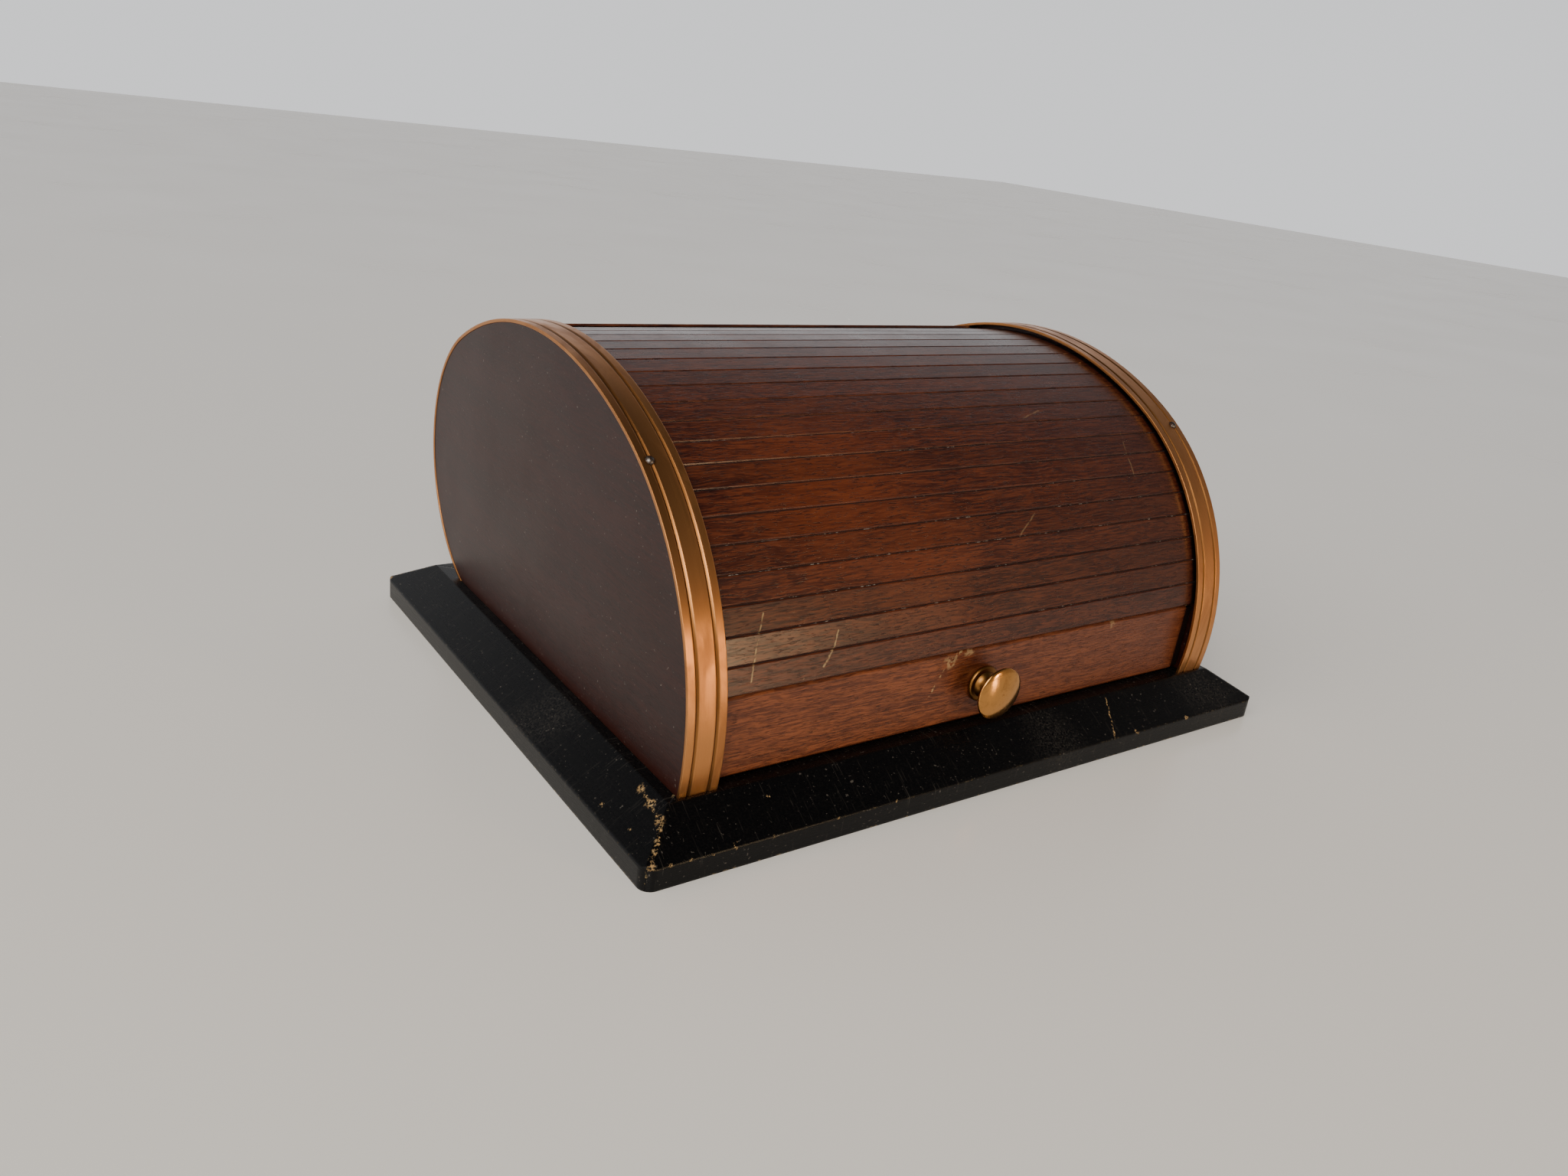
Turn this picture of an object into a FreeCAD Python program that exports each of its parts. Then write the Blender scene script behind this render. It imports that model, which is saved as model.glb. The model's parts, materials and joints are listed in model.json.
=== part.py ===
import FreeCAD, Part
import math
import os
from FreeCAD import Vector

os.makedirs("parts", exist_ok=True)

# Tambour lid box. X runs along the slats, -Y is the front with the knob, Z is up.
# The origin is the middle of the plinth's underside.
# Angles on the outline are of its outward normal, in degrees from straight up, positive to the back.

# Plinth
PLINTH_W = 200.0
PLINTH_D = 160.5
PLINTH_H = 12.1
PLINTH_EDGE_H = 5.3  # plumb lower edge, under the bevelled face
PLINTH_BEVEL = 10.8  # how far the bevelled face leans in
MOULDING_W = 24.0
PLINTH_CORNER_R = 3.0
ARRIS_R = 0.6

# Outline of the cheeks: a round front, a flatter crown and a tight back, tangent to each other
FRONT_R = 66.0
FRONT_RISE = 11.2  # centre of the front arc above the plinth
FRONT_END_DEG = -28.5
BACK_R = 38.8
BACK_FOOT_DEG = 154.5
FRONT_IN = 10.4  # outline behind the front edge of the plinth
BACK_IN = 0.4  # outline short of the back edge of the plinth
BAND_PAST_DEG = 5.0  # bands run on past both feet before they are trimmed

# Cheeks, runners and bands
SIDE_IN = 13.3  # bands in from the side edges of the plinth
CHEEK_T = 6.4
RUNNER_T = 2.8
BAND_W = 9.5
BAND_T = 0.8
BAND_PROUD = 0.15  # band past the cheek's outer face
GROOVE_IN = 2.3  # centre of each groove from its edge of the band
GROOVE_W = 1.0
GROOVE_DEPTH = 0.35
BAND_PIN_DEGS = (-35.0, 100.0)
BAND_PIN_IN = 2.3
BAND_PIN_HEAD_D = 2.2
BAND_PIN_HEAD_H = 0.7
BAND_PIN_SHANK_D = 1.0
BAND_PIN_LENGTH = 7.0

# Tambour
SLAT_COUNT = 21
SLAT_PITCH = 6.4
SLAT_T = 2.8
SLAT_DROP = 2.0  # slat faces under the outer face of the bands
SLAT_SEAM = 0.2
SLAT_EASE = 0.25
RAIL_H = 20.0
RAIL_T = 6.0
RAIL_DROP = 1.6  # rail face under the slat faces
RAIL_EASE = 0.8
TONGUE_T = 0.9
TONGUE_EDGE = 1.0  # tongue and batten short of the rail's long edges
CANVAS_T = 0.4
CANVAS_LAP = 8.0  # canvas glued on the back of the rail
BATTEN_T = 2.2
TACK_COUNT = 5
TACK_HEAD_D = 3.0
TACK_HEAD_H = 0.6
TACK_SHANK_W = 0.9
TACK_BITE = 1.3  # tack into the rail
OPEN_ROOM_DEG = 3.0  # open lid short of where it would meet the back

# Knob and its screw
KNOB_D = 13.8
KNOB_RIM_T = 0.8
KNOB_DOME_H = 1.2
KNOB_LENGTH = 8.0
NECK_D = 4.8
COLLAR_D = 9.6
COLLAR_T = 1.3
KNOB_SCREW_D = 2.4
KNOB_SCREW_HEAD_D = 5.0
KNOB_SCREW_HEAD_H = 1.4
KNOB_SCREW_BITE = 4.5

# Fixed back, stops and floor
PANEL_T = 1.8
PANEL_LAP_DEG = 0.3  # back over the last slat of the closed lid
PANEL_GROOVE_W = 0.6
PANEL_GROOVE_DEPTH = 0.35
REAR_DEG = 160.0  # past the foot of the back, about the track's centre
STOP_SPAN_DEG = 14.0
FLOOR_T = 2.5
FLOOR_FRONT_IN = 12.0  # floor panel behind the front of the outline

# Screws from under the plinth into the cheeks
CHEEK_SCREW_YS = (-42.0, 0.0, 42.0)
CHEEK_SCREW_D = 3.0
CHEEK_SCREW_HEAD_D = 6.0
CHEEK_SCREW_HEAD_H = 1.8
CHEEK_SCREW_BITE = 14.0
FASTENER_SIDES = 12

# Clearances
REST_GAP = 0.3  # closed rail over the plinth
RUN_GAP = 0.4  # tambour to what it slides on and under
END_GAP = 0.5  # slat ends to the cheeks
RAIL_END_GAP = 0.6  # rail and canvas to the runners
FIT_GAP = 0.05  # screws, pins and glued fits
STOP_GAP_DEG = 0.5

# Places along X, out from the middle
band_out_x = PLINTH_W / 2 - SIDE_IN
cheek_out_x = band_out_x - BAND_PROUD
cheek_in_x = cheek_out_x - CHEEK_T
runner_in_x = cheek_in_x - RUNNER_T
band_in_x = band_out_x - BAND_W
slat_end_x = cheek_in_x - END_GAP
rail_end_x = runner_in_x - RAIL_END_GAP

# Insets from the outline
slat_back_inset = SLAT_DROP + SLAT_T
panel_inset = BAND_T + FIT_GAP
panel_in_inset = panel_inset + PANEL_T

# Centre of the front arc, about which the tambour turns, and radii from it
track_y = -PLINTH_D / 2 + FRONT_IN + FRONT_R
track_z = PLINTH_H + FRONT_RISE
slat_back_r = FRONT_R - slat_back_inset
runner_r = slat_back_r - RUN_GAP
rail_face_r = FRONT_R - SLAT_DROP - RAIL_DROP
rail_back_r = rail_face_r - RAIL_T


def polar(centre, r, deg):
    """Point (y, z) at a radius and angle about a centre."""
    a = math.radians(deg)
    return centre[0] + r * math.sin(a), centre[1] + r * math.cos(a)


def next_centre(centre, r, deg, next_r):
    """Centre of the arc that carries on from this one at an angle, tangent to it."""
    return polar(centre, r - next_r, deg)


def crown_radius():
    """Radius of the arc that leaves the front arc at its end and meets the back arc, tangent to both."""
    out = polar((0, 0), 1, FRONT_END_DEG)
    from_back = [t - b + FRONT_R * o for t, b, o in zip(track, back, out)]
    along = sum(f * o for f, o in zip(from_back, out))
    return (math.hypot(*from_back) ** 2 - BACK_R**2) / (2 * (along - BACK_R))


track = (track_y, track_z)
back_y = PLINTH_D / 2 - BACK_IN - BACK_R
back = (back_y, PLINTH_H - BACK_R * math.cos(math.radians(BACK_FOOT_DEG)))
crown_r = crown_radius()
crown = next_centre(track, FRONT_R, FRONT_END_DEG, crown_r)
crown_end_deg = math.degrees(math.asin((back_y - crown[0]) / (crown_r - BACK_R)))
far = 4 * crown_r  # past everything


def plinth_top_deg(centre, r):
    """Angle from straight up at which an arc comes down to the plinth's top."""
    return math.degrees(math.acos(max(-1.0, (PLINTH_H - centre[1]) / r)))


def outline_arcs(inset, past=0.0):
    """The outline's arcs as (centre, radius, start, end), moved in, and run on past both ends."""
    return [
        (track, FRONT_R - inset, -plinth_top_deg(track, FRONT_R - inset) - past, FRONT_END_DEG),
        (crown, crown_r - inset, FRONT_END_DEG, crown_end_deg),
        (back, BACK_R - inset, crown_end_deg, plinth_top_deg(back, BACK_R - inset) + past),
    ]


def outline_point(deg, inset=0.0):
    """Point (y, z) of the outline where its normal has this angle."""
    for centre, r, start, end in outline_arcs(inset):
        if deg <= end:
            return polar(centre, r, deg)
    return polar(back, BACK_R - inset, deg)


def next_deg(deg, length, inset):
    """Angle reached after going a length along the outline."""
    for _, r, _, end in outline_arcs(inset):
        room = math.radians(end - deg) * r
        if length <= room:
            break
        if room > 0:
            deg = end
            length -= room
    return deg + math.degrees(length / r)


def rail_rest_deg(r):
    """Angle of the rail at which its lower corner at this distance clears the plinth."""
    reach = math.hypot(r, RAIL_H / 2)
    return math.degrees(math.atan(RAIL_H / 2 / r) - math.acos((REST_GAP - FRONT_RISE) / reach))


rail_deg = max(rail_rest_deg(rail_face_r), rail_rest_deg(rail_back_r))
rail_half_deg = math.degrees(math.asin(RAIL_H / 2 / slat_back_r))
canvas_on_rail_r = slat_back_r * math.cos(math.radians(rail_half_deg))
seam_degs = [rail_deg + rail_half_deg]
for _ in range(SLAT_COUNT):
    seam_degs.append(next_deg(seam_degs[-1], SLAT_PITCH, SLAT_DROP))


def prism(points, x0, x1):
    """Solid from a closed polygon of (y, z) points."""
    wire = Part.makePolygon([Vector(x0, y, z) for y, z in points + points[:1]])
    return Part.Face(wire).extrude(Vector(x1 - x0, 0, 0))


def arc_edge(x, centre, r, start, end):
    """Arc at one X."""
    three = [Vector(x, *polar(centre, r, a)) for a in (start, (start + end) / 2, end)]
    return Part.Arc(*three).toShape()


def outline_prism(x0, x1, inset):
    """Solid of the outline, moved in all round but standing on the plinth."""
    edges = [arc_edge(x0, *arc) for arc in outline_arcs(inset)]
    ends = edges[-1].Vertexes[-1].Point, edges[0].Vertexes[0].Point
    edges.append(Part.LineSegment(*ends).toShape())
    return Part.Face(Part.Wire(edges)).extrude(Vector(x1 - x0, 0, 0))


def beside(deg, inset, along):
    """Point by the outline, moved along it as well as in."""
    a = math.radians(deg)
    y, z = outline_point(deg, inset)
    return y + along * math.cos(a), z - along * math.sin(a)


def disc(x0, x1, centre, r):
    """Solid cylinder along X."""
    return Part.makeCylinder(r, x1 - x0, Vector(x0, *centre), Vector(1, 0, 0))


def sector(x0, x1, r, start, end):
    """Slice of a disc about the track's centre, between two angles."""
    rim = arc_edge(x0, track, r, start, end)
    centre = Vector(x0, *track)
    first = Part.LineSegment(centre, Vector(x0, *polar(track, r, start))).toShape()
    last = Part.LineSegment(Vector(x0, *polar(track, r, end)), centre).toShape()
    return Part.Face(Part.Wire([first, rim, last])).extrude(Vector(x1 - x0, 0, 0))


def angle_at(point):
    """Angle of a point about the track's centre."""
    return math.degrees(math.atan2(point[0] - track_y, point[1] - track_z))


def lathe(profile, base, direction, dome=0.0):
    """Turned solid from (radius, distance along the axis) points, its end flat or domed."""
    points = [Vector(r, 0, h) for r, h in profile]
    edges = [Part.LineSegment(a, b).toShape() for a, b in zip(points, points[1:])]
    end = points[-1]
    if dome:
        sphere_r = (end.x**2 + dome**2) / (2 * dome)
        half = math.asin(end.x / sphere_r) / 2
        top = Vector(0, 0, end.z + dome)
        middle = top + Vector(sphere_r * math.sin(half), 0, sphere_r * (math.cos(half) - 1))
        edges.append(Part.Arc(end, middle, top).toShape())
        end = top
    edges.append(Part.LineSegment(end, points[0]).toShape())
    solid = Part.Face(Part.Wire(edges)).revolve(Vector(0, 0, 0), Vector(0, 0, 1), 360)
    solid.Placement = FreeCAD.Placement(base, FreeCAD.Rotation(Vector(0, 0, 1), direction))
    return solid


def fastener(profile, base, direction):
    """Screw or pin, kept to few sides, from (radius, distance along the axis) points."""
    turns = [math.tau * i / FASTENER_SIDES for i in range(FASTENER_SIDES)]
    rings = [[Vector(r * math.cos(a), r * math.sin(a), h) for a in turns] for r, h in profile]
    sides = [rings[0], rings[-1]]
    for low, high in zip(rings, rings[1:]):
        for i in range(FASTENER_SIDES):
            sides.append([low[i - 1], low[i], high[i], high[i - 1]])
    solid = Part.Solid(Part.Shell([Part.Face(Part.makePolygon(q + q[:1])) for q in sides]))
    solid.Placement = FreeCAD.Placement(base, FreeCAD.Rotation(Vector(0, 0, 1), direction))
    return solid


def mirrored(shape):
    """The same piece for the other side."""
    return shape.mirror(Vector(0, 0, 0), Vector(1, 0, 0))


def normal(deg):
    """Outward direction at an angle."""
    a = math.radians(deg)
    return Vector(0, math.sin(a), math.cos(a))


def placed(mid_deg, points):
    """Section points (along the track, out from its centre) as (y, z), at an angle on the track."""
    a = math.radians(mid_deg)
    return [
        (track_y + n * math.sin(a) + t * math.cos(a), track_z + n * math.cos(a) - t * math.sin(a))
        for t, n in points
    ]


def track_point(mid_deg, t, n, x=0.0):
    """One such point, in space."""
    return Vector(x, *placed(mid_deg, [(t, n)])[0])


# Plinth: four mitred mouldings round a board


def moulding(length):
    """Moulding along X at the front, before its mitres: plumb edge, bevel and eased arrises."""
    front = -PLINTH_D / 2
    bevel_h = PLINTH_H - PLINTH_EDGE_H
    section = [
        (front, 0),
        (front, PLINTH_EDGE_H),
        (front + PLINTH_BEVEL, PLINTH_H),
        (front + MOULDING_W, PLINTH_H),
        (front + MOULDING_W, 0),
    ]
    solid = prism(section, -length / 2, length / 2)
    arrises = [
        e
        for e in solid.Edges
        if len(e.Vertexes) == 2
        and abs(e.Vertexes[0].X - e.Vertexes[1].X) > length / 2
        and e.BoundBox.YMax < front + PLINTH_BEVEL + bevel_h / 100
        and e.BoundBox.ZMin > PLINTH_EDGE_H / 2
    ]
    return solid.makeFillet(ARRIS_R, arrises)


def mitred(side, length, depth):
    """Moulding of a side with its mitres cut and the plinth's corners rounded."""
    reach = max(PLINTH_W, PLINTH_D)
    solid = moulding(length + reach)
    keep = [
        Vector(-length / 2, -depth / 2, -1),
        Vector(length / 2, -depth / 2, -1),
        Vector(length / 2 - MOULDING_W, -depth / 2 + MOULDING_W, -1),
        Vector(-length / 2 + MOULDING_W, -depth / 2 + MOULDING_W, -1),
    ]
    wedge = Part.Face(Part.makePolygon(keep + keep[:1])).extrude(Vector(0, 0, PLINTH_H + 2))
    solid.translate(Vector(0, PLINTH_D / 2 - depth / 2, 0))
    solid = solid.common(wedge)
    solid.rotate(Vector(0, 0, 0), Vector(0, 0, 1), side)
    rounded = Part.makeBox(PLINTH_W, PLINTH_D, PLINTH_H, Vector(-PLINTH_W / 2, -PLINTH_D / 2, 0))
    upright = [e for e in rounded.Edges if e.BoundBox.ZLength > PLINTH_H / 2]
    return solid.common(rounded.makeFillet(PLINTH_CORNER_R, upright))


def cheek_screw_points():
    """Where the cheek screws stand, for the right side."""
    x = (cheek_in_x + cheek_out_x) / 2
    return [Vector(x, y, 0) for y in CHEEK_SCREW_YS]


def cheek_screw(base, gap=0.0):
    """Countersunk screw standing in the plinth, or its hole when there is a gap."""
    r = CHEEK_SCREW_D / 2 + gap
    head_r = CHEEK_SCREW_HEAD_D / 2 + gap
    top = PLINTH_H + CHEEK_SCREW_BITE + gap
    profile = [(head_r, 0), (r, CHEEK_SCREW_HEAD_H), (r, top)]
    return fastener(profile, base, Vector(0, 0, 1))


def plinth_pieces():
    """The mouldings, in their places, and the board between them."""
    holes = [cheek_screw(p, FIT_GAP) for p in cheek_screw_points()]
    right = mitred(90, PLINTH_D, PLINTH_W)
    for hole in holes:
        right = right.cut(hole)
    board_w = PLINTH_W - 2 * MOULDING_W
    board_d = PLINTH_D - 2 * MOULDING_W
    return {
        "plinth_front": mitred(0, PLINTH_W, PLINTH_D),
        "plinth_right": right,
        "plinth_back": mitred(180, PLINTH_W, PLINTH_D),
        "plinth_left": mirrored(right),
        "base_board": Part.makeBox(board_w, board_d, PLINTH_H, Vector(-board_w / 2, -board_d / 2, 0)),
    }


# Cheeks, runners and bands


def band_pin(deg, gap=0.0):
    """Round-headed pin of the right band, or its hole when there is a gap."""
    foot = Vector(band_out_x - BAND_PIN_IN, *outline_point(deg))
    r = BAND_PIN_SHANK_D / 2 + gap
    shank = fastener([(r, -BAND_PIN_LENGTH - gap), (r, 0)], foot, normal(deg))
    if gap:
        return shank
    edge, middle = BAND_PIN_HEAD_D / 2, BAND_PIN_HEAD_D / 4
    head = [(edge, 0), (edge, BAND_PIN_HEAD_H / 3), (middle, BAND_PIN_HEAD_H)]
    return shank.fuse(fastener(head, foot, normal(deg)))


def cheek():
    """Right end board."""
    solid = outline_prism(cheek_in_x, cheek_out_x, BAND_T)
    for point in cheek_screw_points():
        solid = solid.cut(cheek_screw(point, FIT_GAP))
    for deg in BAND_PIN_DEGS:
        solid = solid.cut(band_pin(deg, FIT_GAP))
    return solid


def runner():
    """Right inner former: the slat ends ride on its rim at the front, and all of them when open."""
    inside = outline_prism(runner_in_x, cheek_in_x, panel_in_inset)
    turn_deg = FRONT_END_DEG + travel_deg
    open_crown = polar(track, FRONT_R - crown_r, turn_deg)
    front = disc(runner_in_x, cheek_in_x, track, runner_r)
    rear = disc(runner_in_x, cheek_in_x, open_crown, crown_r - slat_back_inset - RUN_GAP)
    behind = sector(runner_in_x, cheek_in_x, far, turn_deg, REAR_DEG)
    return inside.common(front.fuse(rear.common(behind))).removeSplitter()


def band():
    """Right band: its grooved section turned round each arc of the outline."""
    section = [(band_out_x, -BAND_T), (band_out_x, 0)]
    for x in (band_out_x - GROOVE_IN, band_in_x + GROOVE_IN):
        section += [(x + GROOVE_W / 2, 0), (x, -GROOVE_DEPTH), (x - GROOVE_W / 2, 0)]
    section += [(band_in_x, 0), (band_in_x, -BAND_T)]
    pieces = []
    for centre, r, start, end in outline_arcs(0.0, BAND_PAST_DEG):
        points = [Vector(x, *polar(centre, r + h, start)) for x, h in section]
        flat = Part.Face(Part.makePolygon(points + points[:1]))
        pieces.append(flat.revolve(Vector(0, *centre), Vector(-1, 0, 0), end - start))
    strip = pieces[0].multiFuse(pieces[1:]).removeSplitter()
    room = Part.makeBox(BAND_W, 2 * far, far, Vector(band_in_x, -far, PLINTH_H))
    strip = strip.common(room)
    for deg in BAND_PIN_DEGS:
        strip = strip.cut(band_pin(deg, FIT_GAP))
    return strip


# Fixed back, floor and stops

tail = outline_point(seam_degs[-1], SLAT_DROP)
tail_back = outline_point(seam_degs[-1], slat_back_inset + CANVAS_T)
sweep_r = math.dist(tail, track) + RUN_GAP
lip_deg = angle_at(tail) - PANEL_LAP_DEG


def meeting_deg():
    """Angle on the track at which the last slat's sweep would meet the inside of the back."""
    across = math.dist(track, back)
    r = BACK_R - panel_in_inset
    cosine = (across**2 + sweep_r**2 - r**2) / (2 * across * sweep_r)
    return angle_at(back) + math.degrees(math.acos(cosine))


travel_deg = meeting_deg() - angle_at(tail) - OPEN_ROOM_DEG
stop_deg = angle_at(tail_back) + travel_deg + STOP_GAP_DEG


def groove_degs():
    """Where the back's grooves lie: one slat pitch apart, on from the last slat."""
    last = plinth_top_deg(back, BACK_R - panel_inset)
    found = [next_deg(seam_degs[-1], SLAT_PITCH, panel_inset)]
    while found[-1] < last:
        found.append(next_deg(found[-1], SLAT_PITCH, panel_inset))
    return found[:-2]


def back_panel():
    """Curved back between the cheeks, in mock slats, hollowed where the tambour slides under it."""
    ends = -cheek_in_x, cheek_in_x
    shell = outline_prism(*ends, panel_inset).cut(outline_prism(*ends, panel_in_inset))
    shell = shell.common(sector(*ends, far, lip_deg, REAR_DEG))
    shell = shell.cut(sector(*ends, sweep_r, lip_deg - STOP_SPAN_DEG, stop_deg))
    half = PANEL_GROOVE_W / 2
    for deg in groove_degs():
        notch = [
            beside(deg, panel_inset - half, -2 * half),
            beside(deg, panel_inset + PANEL_GROOVE_DEPTH, 0),
            beside(deg, panel_inset - half, 2 * half),
        ]
        shell = shell.cut(prism(notch, *ends))
    return shell


def stop_block():
    """Right stop: fills the way behind the open lid's last slat."""
    room = outline_prism(runner_in_x, cheek_in_x, panel_in_inset)
    room = room.common(sector(runner_in_x, cheek_in_x, far, stop_deg, stop_deg + STOP_SPAN_DEG))
    return room.cut(runner())


def floor_panel():
    """Thin floor between the runners, from behind the rail to the back."""
    half_w = runner_in_x - RUN_GAP
    front = track_y - FRONT_R + FLOOR_FRONT_IN
    end_r = BACK_R - panel_in_inset
    end = polar(back, end_r, plinth_top_deg(back, end_r))[0] - RUN_GAP
    return Part.makeBox(2 * half_w, end - front, FLOOR_T, Vector(-half_w, front, PLINTH_H))


# Tambour


def slat(index):
    """One slat: flat face with eased edges, between two seams."""
    low, high = seam_degs[index], seam_degs[index + 1]
    half = SLAT_SEAM / 2
    section = [
        beside(low, slat_back_inset, half),
        beside(low, SLAT_DROP + SLAT_EASE, half),
        beside(low, SLAT_DROP, half + SLAT_EASE),
        beside(high, SLAT_DROP, -half - SLAT_EASE),
        beside(high, SLAT_DROP + SLAT_EASE, -half),
        beside(high, slat_back_inset, -half),
    ]
    return prism(section, -slat_end_x, slat_end_x)


def tack_points():
    """Middles of the tack heads along the batten, and their depth."""
    spread = 2 * rail_end_x * (TACK_COUNT - 1) / (TACK_COUNT + 1)
    t = RAIL_H / 2 - CANVAS_LAP / 2
    n = canvas_on_rail_r - CANVAS_T - BATTEN_T
    step = spread / max(1, TACK_COUNT - 1)
    return [track_point(rail_deg, t, n, -spread / 2 + i * step) for i in range(TACK_COUNT)]


def tack(foot, gap=0.0):
    """Cut tack driven outward from inside, or its hole when there is a gap."""
    half = TACK_SHANK_W / 2 + gap
    length = BATTEN_T + CANVAS_T + TACK_BITE + gap
    out = normal(rail_deg)
    shank = Part.makeBox(2 * half, 2 * half, length, Vector(-half, -half, 0))
    shank.Placement = FreeCAD.Placement(foot, FreeCAD.Rotation(Vector(1, 0, 0), Vector(), out, "XZY"))
    shank.translate(foot - shank.BoundBox.Center + out * (length / 2))
    if gap:
        return shank
    return shank.fuse(fastener([(TACK_HEAD_D / 2, -TACK_HEAD_H), (TACK_HEAD_D / 2, 0)], foot, out))


def knob_screw(gap=0.0):
    """Countersunk screw from inside the rail into the knob, or its hole when there is a gap."""
    r = KNOB_SCREW_D / 2 + gap
    head_r = KNOB_SCREW_HEAD_D / 2 + gap
    tip = RAIL_T + KNOB_SCREW_BITE + gap
    profile = [(head_r, 0), (r, KNOB_SCREW_HEAD_H), (r, tip)]
    return fastener(profile, track_point(rail_deg, 0, rail_back_r), normal(rail_deg))


def lead_rail():
    """Flat rail: body between the runners, thin tongues in the track, canvas step on its back."""
    half = RAIL_H / 2
    body = [
        (-half, rail_back_r),
        (-half, rail_face_r - RAIL_EASE),
        (-half + RAIL_EASE, rail_face_r),
        (half - RAIL_EASE, rail_face_r),
        (half, rail_face_r - RAIL_EASE),
        (half, canvas_on_rail_r),
        (half - CANVAS_LAP, canvas_on_rail_r),
        (half - CANVAS_LAP, rail_back_r),
    ]
    tongue = [
        (-half + TONGUE_EDGE, slat_back_r),
        (-half + TONGUE_EDGE, slat_back_r + TONGUE_T),
        (half - TONGUE_EDGE, slat_back_r + TONGUE_T),
        (half - TONGUE_EDGE, slat_back_r),
    ]
    rail = prism(placed(rail_deg, body), -rail_end_x, rail_end_x)
    rail = rail.fuse(prism(placed(rail_deg, tongue), -slat_end_x, slat_end_x)).removeSplitter()
    for point in tack_points():
        rail = rail.cut(tack(point, FIT_GAP))
    return rail.cut(knob_screw(FIT_GAP))


def canvas():
    """Cloth behind the slats, folded at each seam, with its end on the rail."""
    skins = []
    for inward in (0.0, CANVAS_T):
        start = placed(rail_deg, [(RAIL_H / 2 - CANVAS_LAP, canvas_on_rail_r - inward)])
        skins.append(start + [outline_point(a, slat_back_inset + inward) for a in seam_degs])
    solid = prism(skins[0] + skins[1][::-1], -rail_end_x, rail_end_x)
    for point in tack_points():
        solid = solid.cut(tack(point, FIT_GAP))
    return solid


def batten():
    """Strip that clamps the end of the canvas to the rail."""
    half = RAIL_H / 2
    top = canvas_on_rail_r - CANVAS_T
    section = [
        (half - CANVAS_LAP, top),
        (half - TONGUE_EDGE, top),
        (half - TONGUE_EDGE, top - BATTEN_T),
        (half - CANVAS_LAP, top - BATTEN_T),
    ]
    solid = prism(placed(rail_deg, section), -rail_end_x, rail_end_x)
    for point in tack_points():
        solid = solid.cut(tack(point, FIT_GAP))
    return solid


def knob():
    """Turned knob: collar on the rail, neck and a thin domed head."""
    rim = KNOB_LENGTH - KNOB_DOME_H
    head = rim - KNOB_RIM_T
    collar_r, neck_r, head_r = COLLAR_D / 2, NECK_D / 2, KNOB_D / 2
    flare = (head - COLLAR_T) / 3
    profile = [
        (0, 0),
        (collar_r, 0),
        (collar_r, COLLAR_T),
        (neck_r, COLLAR_T + flare),
        (neck_r, head - flare),
        (head_r, head),
        (head_r, rim),
    ]
    solid = lathe(profile, track_point(rail_deg, 0, rail_face_r), normal(rail_deg), KNOB_DOME_H)
    return solid.cut(knob_screw(FIT_GAP))


def pieces():
    """Every piece in its place, the lid closed."""
    right_screws = [cheek_screw(p) for p in cheek_screw_points()]
    right_pins = Part.makeCompound([band_pin(deg) for deg in BAND_PIN_DEGS])
    right = {"cheek": cheek(), "runner": runner(), "band": band(), "stop_block": stop_block()}
    right["band_pins"] = right_pins
    made = plinth_pieces()
    for name, shape in right.items():
        made[name + "_right"] = shape
        made[name + "_left"] = mirrored(shape)
    made["cheek_screws"] = Part.makeCompound(right_screws + [mirrored(s) for s in right_screws])
    made["back_panel"] = back_panel()
    made["floor_panel"] = floor_panel()
    for index in range(SLAT_COUNT):
        made["slat_%02d" % (index + 1)] = slat(index)
    made["lead_rail"] = lead_rail()
    made["canvas"] = canvas()
    made["batten"] = batten()
    made["batten_tacks"] = Part.makeCompound([tack(p) for p in tack_points()])
    made["knob"] = knob()
    made["knob_screw"] = knob_screw()
    return made


for node, shape in pieces().items():
    shape.exportStep("parts/" + node + ".step")
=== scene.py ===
"""Finishes of a tambour lid box, the small turned and driven parts that show, and the studio it stands in."""

import json
import math

import bmesh
import bpy
from bpy.props import FloatProperty, FloatVectorProperty, IntProperty, PointerProperty
from mathutils import Matrix, Vector


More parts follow.
